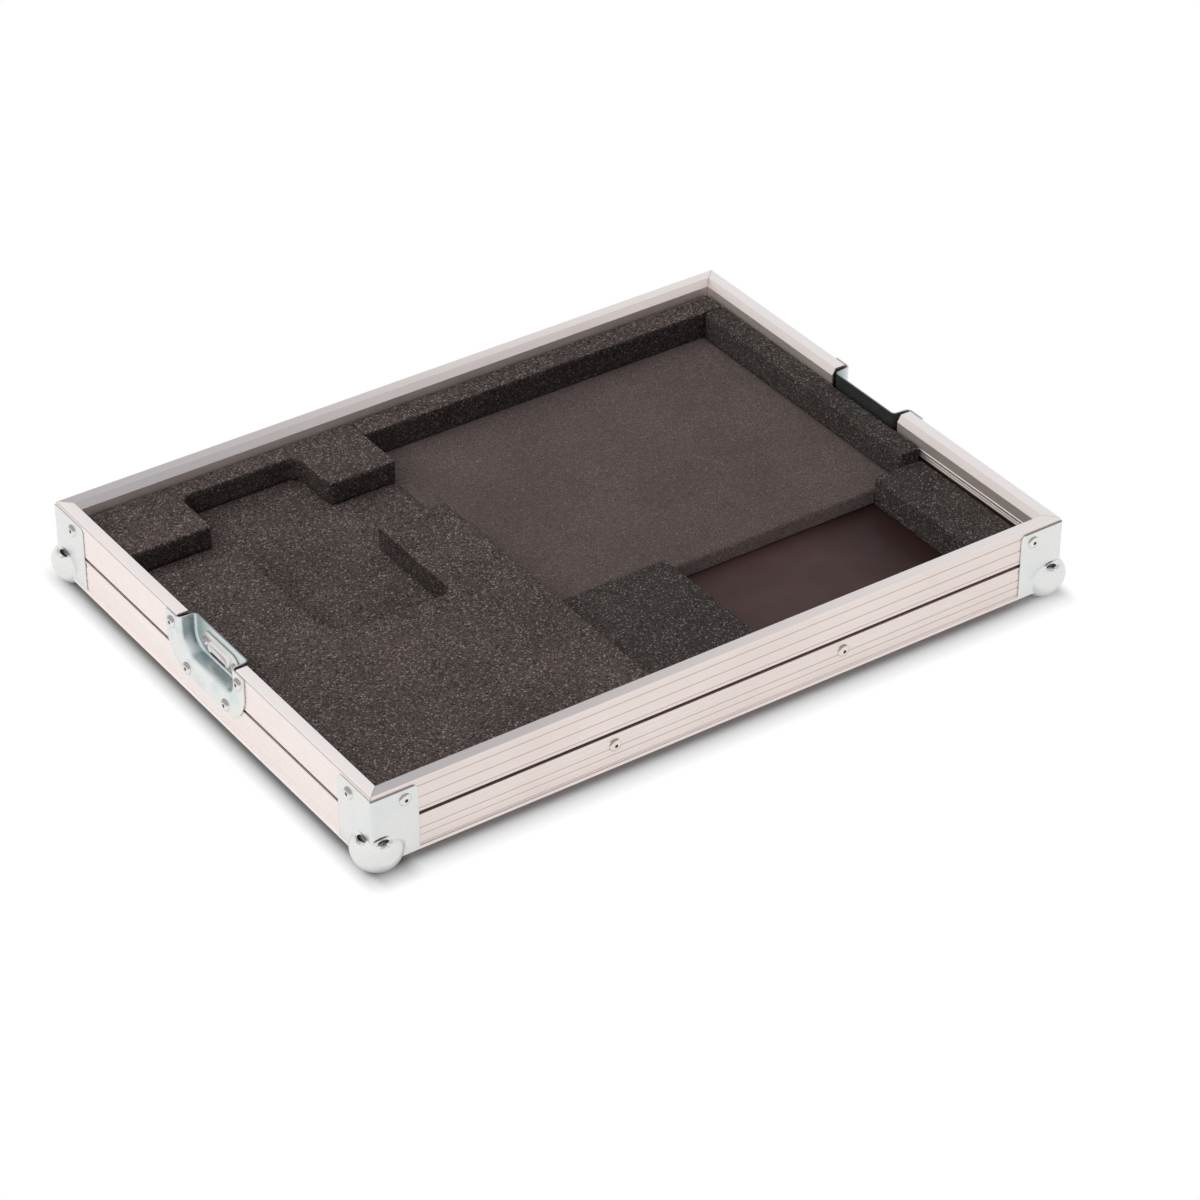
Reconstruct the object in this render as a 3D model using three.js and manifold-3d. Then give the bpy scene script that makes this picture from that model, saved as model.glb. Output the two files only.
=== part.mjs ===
// Base tray of a transport case for pedals, in millimetres, +Z up.
// Plywood walls sit between an upper rim profile and a lower angle, and cut foam fills the tray.
// The origin is under the middle of the tray, at the height of the lowest points of the ball corners.
// X runs along the long side, the front wall faces -Y.
import * as THREE from 'three';
import { mergeVertices } from 'three/addons/utils/BufferGeometryUtils.js';
import Module from 'manifold-3d';

const wasm = await Module();
wasm.setup();

// Driving dimensions of the case
const caseLength = 600;
const caseWidth = 440;
const rimLegHeight = 27.5;
const profileGap = 3;
const angleLegHeight = 27.5;
const profileWall = 1.5;
const panelThickness = 6.5;
const floorThickness = 9;
const panelFit = 0.25;
const angleFootWidth = 30;
const rimInnerLegHeight = 21.5;
const rimLipReach = 3.5;
const rimLipDrop = 6;

// Small forms of the two profiles
const rimRound = 1.8;
const rimBead = 0.5;
const rimBeadHeight = 1.4;
const rimBeadDrop = 14.5;
const grooveDepth = 0.45;
const grooveHalfWidth = 0.6;
const rimGrooveShares = [0.22, 0.57, 0.91];
const angleGrooveShares = [0.42, 0.64, 0.89];
const angleBandTop = 2;
const angleBandHeight = 4;
const angleBandDepth = 0.25;
const reedDepth = 0.3;
const reedHalfWidth = 0.5;
const reedPitch = 2;
const reedRise = 1.6;
const reedCount = 2;
const angleFillet = 1.2;
const mitreGap = 0.3;

// Ball corners: three sheet legs and a hollow ball
const sheetThickness = 1.2;
const sheetFit = 0.2;
const cornerLongWallLeg = 37.5;
const cornerShortWallLeg = 41.5;
const cornerTopDrop = 3;
const cornerClip = 5;
const cornerFootClip = 9;
const bendRadius = 2;
const ballRadius = 19.3;
const ballInset = 9;
const ballFit = 0.4;

// Latch dishes in the short walls, drawn from sheet
const dishFlangeSide = 8;
const dishFlangeBelow = 12;
const dishTopDrop = 0.5;
const dishCornerRadius = 28;
const dishTopRadius = 3;
const dishMouthWidth = 82;
const dishMouthDrop = 32;
const dishMouthRadius = 19;
const dishDepth = 13;
const dishRoll = 4.5;
const dishDraft = 0.5;
const dishFillet = 2.5;
const rimCutMargin = 0.3;
const dishNotchFit = 1;

// Keeper plates on the backs of the dishes
const keeperWidth = 50;
const keeperHeight = 18;
const keeperDrop = 15.3;
const keeperBossWidth = 31;
const keeperBossHeight = 13;
const keeperBossRise = 2.6;
const keeperSlotWidth = 22;
const keeperSlotHeight = 3;
const keeperSlotLower = 5.5;
const keeperRivetInset = 5;

// Blind rivets
const rivetHeadRadius = 5;
const rivetHeadRise = 1.7;
const rivetEdgeShare = 0.3;
const rivetShankRadius = 2;
const rivetMandrelRadius = 1.3;
const rivetHoleFit = 0.3;
const rivetSeatFit = 0.15;
const rivetPanelReach = 4;
const keeperRivetHeadRadius = 3.6;
const cornerRivetInset = 26.5;
const cornerRivetDrop = 11.5;
const footRivetInset = 31;
const footRivetSide = 14;
const keeperRivetTail = 0.6;
const wallRivetSpacing = 200;
const wallRivetDrop = 40;
const dishTopRivetDrop = 8.5;
const dishTopRivetSide = 5.2;
const dishLowRivetInset = 14;

// Foam insert: two glued layers on the left, single blocks on the right
const foamTopDrop = 11.75;
const foamUpperLayer = 20;
const foamBlockDrop = 21.75;
const foamSheetHeight = 14;
const foamFit = 0.3;
const foamNotchFit = 1;
const leftFoamEnd = 246.3;
const recessStart = 86.8;
const recessWidth = 101;
const recessLength = 218.8;
const recessBackMargin = 32.8;
const recessCornerRadius = 10;
const recessCutCorner = 27;
const leftChannelBack = 79.3;
const leftChannelWidth = 35;
const rightChannelBack = 81.3;
const rightChannelWidth = 68.3;
const islandCornerRadius = 8;
const frontBlocksDepth = 147.7;
const centreBlockEnd = 347.3;
const rightBlockWidth = 58.7;
const rightStripWidth = 33.7;
const backStripDepth = 36.8;

// Steps of the round forms, and how far a cutter runs past what it cuts
const arcSteps = 5;
const foldSteps = 3;
const ballSteps = 20;
const rivetSteps = 10;
const overrun = 3;

// Derived sizes
const caseHeight = rimLegHeight + profileGap + angleLegHeight;
const rimWidth = 2 * profileWall + 2 * panelFit + panelThickness;
const rimInnerFace = rimWidth + rimLipReach;
const panelOuterFace = profileWall + panelFit;
const panelInnerFace = panelOuterFace + panelThickness;
const ballDrop = ballRadius - ballInset;
const floorTop = profileWall + panelFit + floorThickness;
const foamEdge = rimInnerFace + rimBead + foamFit;
const foamLowerLayer = caseHeight - foamTopDrop - foamUpperLayer - floorTop;
const foamFullHeight = foamLowerLayer + foamUpperLayer;
const foamBlockHeight = caseHeight - foamBlockDrop - floorTop;
const sheetFace = sheetThickness + sheetFit;
const rimCutWidth = dishMouthWidth + 2 * rimCutMargin;
const dishTopRivetSpacing = rimCutWidth + 2 * dishTopRivetSide;
const dishLowRivetSpacing = dishMouthWidth - 2 * dishLowRivetInset;
const dishLowRivetDrop = dishMouthDrop + dishFlangeBelow / 2;
const dishWidth = dishTopRivetSpacing + 2 * dishFlangeSide;
const dishHeight = dishMouthDrop + dishFlangeBelow;
const dishNotchDrop = dishMouthDrop + dishNotchFit;
const keeperRivetSpacing = keeperWidth - 2 * keeperRivetInset;
const holeRadius = rivetShankRadius + rivetHoleFit;

// Plain finishes
const aluminium = { color: 0xe8dedb, roughness: 0.42, metalness: 0.75 };
const zinc = { color: 0xdde2de, roughness: 0.35, metalness: 0.85 };
const plywood = { color: 0x4a3b39, roughness: 0.7, metalness: 0 };
const floorFilm = { color: 0x44312f, roughness: 0.6, metalness: 0 };
const coarseFoam = { color: 0x463e3c, roughness: 0.95, metalness: 0 };
const fineFoam = { color: 0x504947, roughness: 0.95, metalness: 0 };
const steelRivet = { color: 0xe1cdbe, roughness: 0.4, metalness: 0.8 };

// Turns a closed geometry into a solid that can be cut and joined.
function toSolid(geometry) {
  const bare = geometry.clone();
  bare.deleteAttribute('normal');
  bare.deleteAttribute('uv');
  const welded = mergeVertices(bare);
  return new wasm.Manifold(new wasm.Mesh({
    numProp: 3,
    vertProperties: new Float32Array(welded.attributes.position.array),
    triVerts: new Uint32Array(welded.index.array),
  }));
}

// Turns a solid back into a geometry.
function toGeometry(solid) {
  const mesh = solid.getMesh();
  const geometry = new THREE.BufferGeometry();
  geometry.setAttribute('position', new THREE.BufferAttribute(new Float32Array(mesh.vertProperties), 3));
  geometry.setIndex(new THREE.BufferAttribute(new Uint32Array(mesh.triVerts), 1));
  geometry.computeVertexNormals();
  return geometry;
}

// A box between two corners.
function block(low, high) {
  const geometry = new THREE.BoxGeometry(high[0] - low[0], high[1] - low[1], high[2] - low[2]);
  geometry.translate((low[0] + high[0]) / 2, (low[1] + high[1]) / 2, (low[2] + high[2]) / 2);
  return geometry;
}

// A cylinder along Y, Z or X between two depths, for holes.
function rod(radius, axis, from, to, across, up) {
  const geometry = new THREE.CylinderGeometry(radius, radius, to - from, rivetSteps);
  if (axis === 'z') {
    geometry.rotateX(Math.PI / 2);
    geometry.translate(across, up, (from + to) / 2);
  } else if (axis === 'x') {
    geometry.rotateZ(Math.PI / 2);
    geometry.translate((from + to) / 2, across, up);
  } else {
    geometry.translate(across, (from + to) / 2, up);
  }
  return geometry;
}

// Cuts a list of tool geometries out of a body geometry.
function cut(body, tools) {
  let solid = toSolid(body);
  for (const tool of tools) {
    solid = solid.subtract(toSolid(tool));
  }
  return toGeometry(solid);
}

// A sphere with its poles up and down.
function ball(radius) {
  return new THREE.SphereGeometry(radius, ballSteps, ballSteps / 2).rotateX(Math.PI / 2);
}

// A plane outline extruded upwards by its thickness.
function plate(shape, thickness) {
  return new THREE.ExtrudeGeometry(shape, { depth: thickness, bevelEnabled: false, curveSegments: arcSteps });
}

// Stands a plate drawn in XY up in a wall: X stays level, Y points up, the thickness runs inwards.
function standUp(geometry) {
  return geometry.rotateX(-Math.PI / 2).rotateY(Math.PI);
}

// Turns a plate's X, Y and thickness to run along Y, Z and X.
function layOver(geometry) {
  return geometry.rotateX(Math.PI / 2).rotateZ(Math.PI / 2);
}

// Puts a V groove into an outline that runs up or down the face at the given depth.
function addGroove(shape, face, middle, halfWidth, depth, direction) {
  shape.lineTo(face, middle - direction * halfWidth);
  shape.lineTo(face + depth, middle);
  shape.lineTo(face, middle + direction * halfWidth);
}

// Section of the upper rim profile: X inwards from the outer face, Y up from the case's underside.
function rimSection() {
  const shape = new THREE.Shape();
  shape.moveTo(0, caseHeight - rimLegHeight);
  for (const share of [...rimGrooveShares].reverse()) {
    addGroove(shape, 0, caseHeight - share * rimLegHeight, grooveHalfWidth, grooveDepth, 1);
  }
  shape.lineTo(0, caseHeight - rimRound);
  shape.absarc(rimRound, caseHeight - rimRound, rimRound, Math.PI, Math.PI / 2, true);
  shape.lineTo(rimWidth, caseHeight);
  shape.lineTo(rimInnerFace, caseHeight - rimLipDrop);
  const beadTop = caseHeight - rimBeadDrop;
  shape.lineTo(rimInnerFace, beadTop);
  shape.lineTo(rimInnerFace + rimBead, beadTop - rimBead);
  shape.lineTo(rimInnerFace + rimBead, beadTop - rimBeadHeight + rimBead);
  shape.lineTo(rimInnerFace, beadTop - rimBeadHeight);
  const legEnd = caseHeight - rimInnerLegHeight;
  for (let reed = reedCount - 1; reed >= 0; reed -= 1) {
    addGroove(shape, rimInnerFace, legEnd + reedRise + reed * reedPitch, reedHalfWidth, -reedDepth, -1);
  }
  shape.lineTo(rimInnerFace, legEnd);
  shape.lineTo(rimWidth - profileWall, legEnd);
  shape.lineTo(rimWidth - profileWall, caseHeight - profileWall);
  shape.lineTo(profileWall, caseHeight - profileWall);
  shape.lineTo(profileWall, caseHeight - rimLegHeight);
  shape.closePath();
  return shape;
}

// Section of the lower angle, in the same directions.
function angleSection() {
  const shape = new THREE.Shape();
  shape.moveTo(angleFillet, 0);
  shape.absarc(angleFillet, angleFillet, angleFillet, -Math.PI / 2, -Math.PI, true);
  for (const share of [...angleGrooveShares].reverse()) {
    addGroove(shape, 0, (1 - share) * angleLegHeight, grooveHalfWidth, grooveDepth, 1);
  }
  const bandTop = angleLegHeight - angleBandTop;
  const bandBottom = bandTop - angleBandHeight;
  shape.lineTo(0, bandBottom - angleBandDepth);
  shape.lineTo(angleBandDepth, bandBottom);
  shape.lineTo(angleBandDepth, bandTop);
  shape.lineTo(0, bandTop + angleBandDepth);
  shape.lineTo(0, angleLegHeight);
  shape.lineTo(profileWall, angleLegHeight);
  shape.lineTo(profileWall, profileWall);
  shape.lineTo(angleFootWidth, profileWall);
  shape.lineTo(angleFootWidth, 0);
  shape.closePath();
  return shape;
}

// Runs a section along a wall from start to end, with each end mitred at 45 degrees or square.
// A mitred end starts at the case's corner and is drawn back by the section's distance inwards.
function profileRun(section, start, end, mitreStart, mitreEnd) {
  const geometry = new THREE.ExtrudeGeometry(section, {
    depth: end - start,
    bevelEnabled: false,
    curveSegments: foldSteps,
  });
  const points = geometry.attributes.position;
  const middle = (end - start) / 2;
  for (let index = 0; index < points.count; index += 1) {
    const inwards = points.getX(index);
    const up = points.getY(index);
    let along = points.getZ(index);
    if (along < middle && mitreStart) {
      along += inwards + mitreGap / 2;
    } else if (along > middle && mitreEnd) {
      along -= inwards + mitreGap / 2;
    }
    points.setXYZ(index, start + along, inwards, up);
  }
  return geometry;
}

// The ball's shell cuts into the case's corner: everything near the corner that lies outside its bore.
// The direction is 1 at the start of a wall and -1 at its end.
function ballClearance(direction) {
  const reach = ballInset * direction;
  const back = -overrun * direction;
  const cornerBlock = block(
    [Math.min(reach, back), -overrun, -overrun],
    [Math.max(reach, back), ballInset, ballInset],
  );
  const bore = ball(ballRadius - sheetThickness - ballFit);
  bore.translate(reach, ballInset, ballInset);
  return toGeometry(toSolid(cornerBlock).subtract(toSolid(bore)));
}

// A list of rings joined into one closed loft, with flat ends.
function loft(rings) {
  const count = rings[0].length;
  const positions = rings.flat().flatMap((point) => [point.x, point.y, point.z]);
  const index = [];
  for (let ring = 0; ring < rings.length - 1; ring += 1) {
    for (let step = 0; step < count; step += 1) {
      const a = ring * count + step;
      const b = ring * count + ((step + 1) % count);
      index.push(a, b, b + count, a, b + count, a + count);
    }
  }
  const last = (rings.length - 1) * count;
  for (let step = 1; step < count - 1; step += 1) {
    index.push(0, step + 1, step, last, last + step, last + step + 1);
  }
  const geometry = new THREE.BufferGeometry();
  geometry.setAttribute('position', new THREE.Float32BufferAttribute(positions, 3));
  geometry.setIndex(index);
  return geometry;
}

// Ring of the dish's mouth, drawn in by an inset, at a depth: straight sides and a rounded bottom.
function mouthRing(inset, depth, top) {
  const half = dishMouthWidth / 2 - inset;
  const bottom = caseHeight - dishMouthDrop + inset;
  const radius = dishMouthRadius - inset;
  const ring = [new THREE.Vector3(-half, top, depth)];
  for (let step = 0; step <= arcSteps; step += 1) {
    const angle = Math.PI + (step / arcSteps) * (Math.PI / 2);
    const x = -half + radius + radius * Math.cos(angle);
    ring.push(new THREE.Vector3(x, bottom + radius + radius * Math.sin(angle), depth));
  }
  for (let step = 0; step <= arcSteps; step += 1) {
    const angle = -Math.PI / 2 + (step / arcSteps) * (Math.PI / 2);
    const x = half - radius + radius * Math.cos(angle);
    ring.push(new THREE.Vector3(x, bottom + radius + radius * Math.sin(angle), depth));
  }
  ring.push(new THREE.Vector3(half, top, depth));
  return ring;
}

// One skin of the drawn dish, offset outwards from the visible face by the given distance.
// It starts with the given rings and goes on through the mouth's roll and the back's fillet.
function dishSkin(offset, top, firstRings) {
  const rings = [...firstRings];
  for (let step = 0; step <= foldSteps; step += 1) {
    const angle = (step / foldSteps) * (Math.PI / 2);
    const radius = dishRoll - offset;
    const depth = dishRoll - sheetFace - radius * Math.cos(angle);
    rings.push(mouthRing(radius * Math.sin(angle), depth, top));
  }
  for (let step = 0; step <= foldSteps; step += 1) {
    const angle = (step / foldSteps) * (Math.PI / 2);
    const radius = dishFillet + offset;
    const inset = dishRoll + dishDraft + dishFillet - radius * Math.cos(angle);
    rings.push(mouthRing(inset, dishDepth - dishFillet + radius * Math.sin(angle), top));
  }
  return loft(rings);
}

// Outline with its own radius for the two upper and the two lower corners.
function roundedOutline(width, bottom, top, lowRadius, topRadius) {
  const half = width / 2;
  const shape = new THREE.Shape();
  shape.moveTo(-half + lowRadius, bottom);
  shape.lineTo(half - lowRadius, bottom);
  shape.absarc(half - lowRadius, bottom + lowRadius, lowRadius, -Math.PI / 2, 0, false);
  shape.lineTo(half, top - topRadius);
  shape.absarc(half - topRadius, top - topRadius, topRadius, 0, Math.PI / 2, false);
  shape.lineTo(-half + topRadius, top);
  shape.absarc(-half + topRadius, top - topRadius, topRadius, Math.PI / 2, Math.PI, false);
  shape.lineTo(-half, bottom + lowRadius);
  shape.absarc(-half + lowRadius, bottom + lowRadius, lowRadius, Math.PI, 1.5 * Math.PI, false);
  return shape;
}

// The pressed dish: a flange on the wall and a recess that is open at the top.
function latchDish() {
  const top = caseHeight - dishTopDrop;
  const flange = plate(
    roundedOutline(dishWidth, caseHeight - dishHeight, top, dishCornerRadius, dishTopRadius),
    sheetThickness,
  );
  flange.translate(0, 0, -sheetFace);
  const shell = toSolid(flange).add(toSolid(dishSkin(sheetThickness, top, [])));
  const cavityTop = top + overrun;
  const cavityFront = mouthRing(0, -sheetFace - overrun, cavityTop);
  const cavity = toSolid(dishSkin(0, cavityTop, [cavityFront]));
  const dish = standUp(toGeometry(shell.subtract(cavity)));
  return cut(dish, dishRivetPlaces().map((place) => (
    rod(holeRadius, 'y', -sheetFace - overrun, overrun, place[0], place[1])
  )).concat(keeperRivetPlaces().map((place) => (
    rod(holeRadius, 'y', dishDepth - overrun, dishDepth + sheetThickness + overrun, place[0], place[1])
  ))));
}

// The keeper: a thin plate with a raised oval boss and a slot for the latch's hook.
function keeperPlate() {
  const middle = caseHeight - keeperDrop;
  const end = keeperHeight / 2;
  const base = plate(roundedOutline(keeperWidth, middle - end, middle + end, end, end), sheetThickness);
  base.translate(0, 0, -sheetThickness);
  const rings = [];
  const riseShares = [[0, 1], [0.6, 0.93], [0.9, 0.8], [1, 0.6]];
  for (const [riseShare, sizeShare] of riseShares) {
    const radius = (keeperBossHeight / 2) * sizeShare;
    const straight = (keeperBossWidth - keeperBossHeight) / 2;
    const ring = [];
    for (let step = 0; step < 4 * arcSteps; step += 1) {
      const angle = ((step + 0.5) / (4 * arcSteps)) * 2 * Math.PI;
      const side = Math.cos(angle) > 0 ? straight : -straight;
      ring.push(new THREE.Vector3(
        side + radius * Math.cos(angle),
        middle + radius * Math.sin(angle),
        -sheetThickness - riseShare * keeperBossRise,
      ));
    }
    rings.push(ring);
  }
  const boss = loft(rings.reverse());
  const plateSolid = toSolid(base).add(toSolid(boss));
  const slotHalf = keeperSlotWidth / 2;
  const slotTop = middle - keeperSlotLower + keeperSlotHeight;
  const slot = block(
    [-slotHalf, slotTop - keeperSlotHeight, -sheetThickness - keeperBossRise - overrun],
    [slotHalf, slotTop, overrun],
  );
  const keeper = standUp(toGeometry(plateSolid.subtract(toSolid(slot))));
  keeper.translate(0, dishDepth - sheetFit, 0);
  const holes = keeperRivetPlaces().map((place) => (
    rod(holeRadius, 'y', -overrun, dishDepth + overrun, place[0], place[1])
  ));
  return cut(keeper, holes);
}

// Rivet places in a short wall's own frame, along the wall and up.
function dishRivetPlaces() {
  const high = caseHeight - dishTopRivetDrop;
  const low = caseHeight - dishLowRivetDrop;
  return [
    [-dishTopRivetSpacing / 2, high],
    [dishTopRivetSpacing / 2, high],
    [-dishLowRivetSpacing / 2, low],
    [dishLowRivetSpacing / 2, low],
  ];
}

function keeperRivetPlaces() {
  const up = caseHeight - keeperDrop;
  return [[-keeperRivetSpacing / 2, up], [keeperRivetSpacing / 2, up]];
}

function wallRivetPlaces() {
  const up = caseHeight - wallRivetDrop;
  return [[-wallRivetSpacing / 2, up], [wallRivetSpacing / 2, up]];
}

function cornerRivetPlaces(wallLength) {
  const up = caseHeight - cornerRivetDrop;
  const along = wallLength / 2 - cornerRivetInset;
  return [[-along, up], [along, up]];
}

// A blind rivet, its head up along Y and its shank down from the seat at Y = 0.
function rivet(headRadius, shankLength) {
  const seat = rivetSeatFit;
  const edge = rivetHeadRise * rivetEdgeShare;
  const profile = [
    new THREE.Vector2(0, -shankLength),
    new THREE.Vector2(rivetShankRadius, -shankLength),
    new THREE.Vector2(rivetShankRadius, seat),
    new THREE.Vector2(headRadius, seat),
    new THREE.Vector2(headRadius, seat + edge),
    new THREE.Vector2((headRadius + rivetMandrelRadius) / 2, seat + rivetHeadRise),
    new THREE.Vector2(rivetMandrelRadius, seat + rivetHeadRise),
    new THREE.Vector2(rivetMandrelRadius, seat + edge),
    new THREE.Vector2(0, seat + edge),
  ];
  return new THREE.LatheGeometry(profile, rivetSteps);
}

// Places of the rivets under the four feet, in plan.
function footRivetPlaces() {
  const x = caseLength / 2 - footRivetInset;
  const y = caseWidth / 2 - footRivetSide;
  return [[-x, -y], [x, -y], [x, y], [-x, y]];
}

// Hole tools through a wall's sheet, profile leg and part of its panel.
function wallHoles(places) {
  return places.map((place) => (
    rod(holeRadius, 'y', -sheetFace - overrun, panelOuterFace + rivetPanelReach + rivetHoleFit, place[0], place[1])
  ));
}

// A square prism with one rounded edge, used to round the bends of a ball corner.
function bendPrism(reach) {
  const outer = -sheetFace;
  const shape = new THREE.Shape();
  shape.moveTo(outer + bendRadius, outer);
  shape.lineTo(reach, outer);
  shape.lineTo(reach, reach);
  shape.lineTo(outer, reach);
  shape.lineTo(outer, outer + bendRadius);
  shape.absarc(outer + bendRadius, outer + bendRadius, bendRadius, Math.PI, 1.5 * Math.PI, false);
  const prism = plate(shape, reach - outer);
  return prism.translate(0, 0, outer);
}

// One leg of a ball corner: upright, with its free upper corner clipped.
function cornerLeg(reach, direction) {
  const outer = -sheetFace * direction;
  const end = reach * direction;
  const top = caseHeight - cornerTopDrop;
  const shape = new THREE.Shape();
  shape.moveTo(outer, -sheetFace);
  shape.lineTo(end, -sheetFace);
  shape.lineTo(end, top - cornerClip);
  shape.lineTo(end - cornerClip * direction, top);
  shape.lineTo(outer, top);
  shape.closePath();
  return plate(shape, sheetThickness);
}

// One ball corner in its own frame: legs along +X and +Y from the case's corner, a foot underneath
// and a hollow ball over the corner itself.
function ballCorner(reachX, reachY, footRivet) {
  const outer = -sheetFace;
  const far = reachX + reachY + caseHeight;
  const legAlongX = standUp(cornerLeg(reachX, -1)).translate(0, outer, 0);
  const legAlongY = layOver(cornerLeg(reachY, 1)).translate(outer, 0, 0);
  const foot = new THREE.Shape();
  foot.moveTo(outer, outer);
  foot.lineTo(reachX, outer);
  foot.lineTo(reachX, reachY - cornerFootClip);
  foot.lineTo(reachX - cornerFootClip, reachY);
  foot.lineTo(outer, reachY);
  foot.closePath();
  const footPlate = plate(foot, sheetThickness).translate(0, 0, outer);
  let sheet = toSolid(legAlongX).add(toSolid(legAlongY)).add(toSolid(footPlate));
  sheet = sheet.intersect(toSolid(bendPrism(far)));
  sheet = sheet.intersect(toSolid(layOver(bendPrism(far))));
  sheet = sheet.intersect(toSolid(layOver(layOver(bendPrism(far)))));

  const back = outer - overrun;
  const cornerBlock = toSolid(block([back, back, back], [ballInset, ballInset, ballInset]));
  const inside = toSolid(block([-sheetFit, -sheetFit, -sheetFit], [far, far, far]));
  const shell = toSolid(ball(ballRadius).translate(ballInset, ballInset, ballInset));
  const bore = toSolid(ball(ballRadius - sheetThickness).translate(ballInset, ballInset, ballInset));
  const corner = sheet.subtract(cornerBlock).add(shell).subtract(bore).subtract(inside.subtract(cornerBlock));

  const up = caseHeight - cornerRivetDrop;
  return cut(toGeometry(corner), [
    rod(holeRadius, 'y', outer - overrun, overrun, cornerRivetInset, up),
    rod(holeRadius, 'x', outer - overrun, overrun, cornerRivetInset, up),
    rod(holeRadius, 'z', outer - overrun, overrun, footRivet[0], footRivet[1]),
  ]);
}

// A lower angle with mitred ends, cut back inside the balls, with rivet holes and a dish's notch.
// Only the angles of the long walls carry the rivets of the feet.
function baseAngle(length, places, hasDish) {
  const half = length / 2;
  const run = profileRun(angleSection(), -half, half, true, true);
  const tools = [
    ballClearance(1).translate(-half, 0, 0),
    ballClearance(-1).translate(half, 0, 0),
    ...wallHoles(places),
  ];
  if (hasDish) {
    tools.push(block(
      [-rimCutWidth / 2, -overrun, caseHeight - dishNotchDrop],
      [rimCutWidth / 2, profileWall + overrun, angleLegHeight + overrun],
    ));
  } else {
    for (const along of [-half + footRivetInset, half - footRivetInset]) {
      tools.push(rod(holeRadius, 'z', -overrun, profileWall + overrun, along, footRivetSide));
    }
  }
  return cut(run, tools);
}

// A wall panel drawn flat and stood up, with a notch for a dish if its wall has one.
function wallPanel(length, hasDish, holePlaces) {
  const bottom = profileWall + panelFit;
  const top = caseHeight - profileWall - panelFit;
  const half = length / 2;
  const shape = new THREE.Shape();
  shape.moveTo(-half, bottom);
  shape.lineTo(half, bottom);
  shape.lineTo(half, top);
  if (hasDish) {
    const notch = caseHeight - dishNotchDrop;
    shape.lineTo(rimCutWidth / 2, top);
    shape.lineTo(rimCutWidth / 2, notch);
    shape.lineTo(-rimCutWidth / 2, notch);
    shape.lineTo(-rimCutWidth / 2, top);
  }
  shape.lineTo(-half, top);
  shape.closePath();
  const panel = standUp(plate(shape, panelThickness)).translate(0, panelOuterFace, 0);
  return cut(panel, wallHoles(holePlaces));
}

// Plan positions of the foam, measured from the case's outer faces.
const foamLeft = -caseLength / 2 + foamEdge;
const foamRight = caseLength / 2 - foamEdge;
const foamFront = -caseWidth / 2 + foamEdge;
const foamBack = caseWidth / 2 - foamEdge;
const leftEnd = -caseLength / 2 + leftFoamEnd;
const recessLeft = -caseLength / 2 + recessStart;
const recessRight = recessLeft + recessWidth;
const recessFar = caseWidth / 2 - recessBackMargin;
const recessNear = recessFar - recessLength;
const leftChannelFar = caseWidth / 2 - leftChannelBack;
const leftChannelNear = leftChannelFar - leftChannelWidth;
const rightChannelFar = caseWidth / 2 - rightChannelBack;
const rightChannelNear = rightChannelFar - rightChannelWidth;
const frontBlocksBack = -caseWidth / 2 + frontBlocksDepth;
const centreRight = -caseLength / 2 + centreBlockEnd;
const rightBlockLeft = caseLength / 2 - rightBlockWidth;
const rightStripLeft = caseLength / 2 - rightStripWidth;
const backStripFront = caseWidth / 2 - backStripDepth;

// A plain block of foam between two plan corners.
function foamBox(left, front, right, back, height) {
  return block([left, front, 0], [right, back, height]);
}

// Upper layer in front of the recess: round the recess's near end, up to the two channels.
function frontBlockShape() {
  const shape = new THREE.Shape();
  shape.moveTo(foamLeft, foamFront);
  shape.lineTo(leftEnd, foamFront);
  shape.lineTo(leftEnd, rightChannelNear);
  shape.lineTo(recessRight, rightChannelNear);
  shape.lineTo(recessRight, recessNear + recessCornerRadius);
  shape.absarc(
    recessRight - recessCornerRadius,
    recessNear + recessCornerRadius,
    recessCornerRadius,
    0,
    -Math.PI / 2,
    true,
  );
  shape.lineTo(recessLeft + recessCutCorner, recessNear);
  shape.quadraticCurveTo(recessLeft, recessNear, recessLeft, recessNear + recessCutCorner);
  shape.lineTo(recessLeft, leftChannelNear);
  shape.lineTo(foamLeft, leftChannelNear);
  shape.closePath();
  return shape;
}

// Upper layer behind the recess: from the left channel round the recess's far end to the island.
function backBlockShape() {
  const shape = new THREE.Shape();
  shape.moveTo(foamLeft, leftChannelFar);
  shape.lineTo(recessLeft, leftChannelFar);
  shape.lineTo(recessLeft, recessFar - islandCornerRadius);
  shape.absarc(
    recessLeft + islandCornerRadius,
    recessFar - islandCornerRadius,
    islandCornerRadius,
    Math.PI,
    Math.PI / 2,
    true,
  );
  shape.lineTo(recessRight - recessCornerRadius, recessFar);
  shape.absarc(
    recessRight - recessCornerRadius,
    recessFar - recessCornerRadius,
    recessCornerRadius,
    Math.PI / 2,
    0,
    true,
  );
  shape.lineTo(recessRight, rightChannelFar + islandCornerRadius);
  shape.absarc(
    recessRight + islandCornerRadius,
    rightChannelFar + islandCornerRadius,
    islandCornerRadius,
    Math.PI,
    1.5 * Math.PI,
    false,
  );
  shape.lineTo(leftEnd, rightChannelFar);
  shape.lineTo(leftEnd, foamBack);
  shape.lineTo(foamLeft, foamBack);
  shape.closePath();
  return shape;
}

// The space that a dish takes out of the foam beside it. The side is -1 on the left and 1 on the right.
function dishNotch(side, foamBottom) {
  const depth = dishDepth + sheetThickness + foamNotchFit;
  const inner = side * (caseLength / 2 - depth);
  const outer = side * (caseLength / 2);
  const half = dishMouthWidth / 2 + dishNotchFit;
  const low = caseHeight - dishNotchDrop - foamBottom;
  return block(
    [Math.min(inner, outer), -half, low],
    [Math.max(inner, outer), half, caseHeight],
  );
}

const part = new THREE.Group();
const tray = new THREE.Group();
tray.position.z = ballDrop;
part.add(tray);

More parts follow.
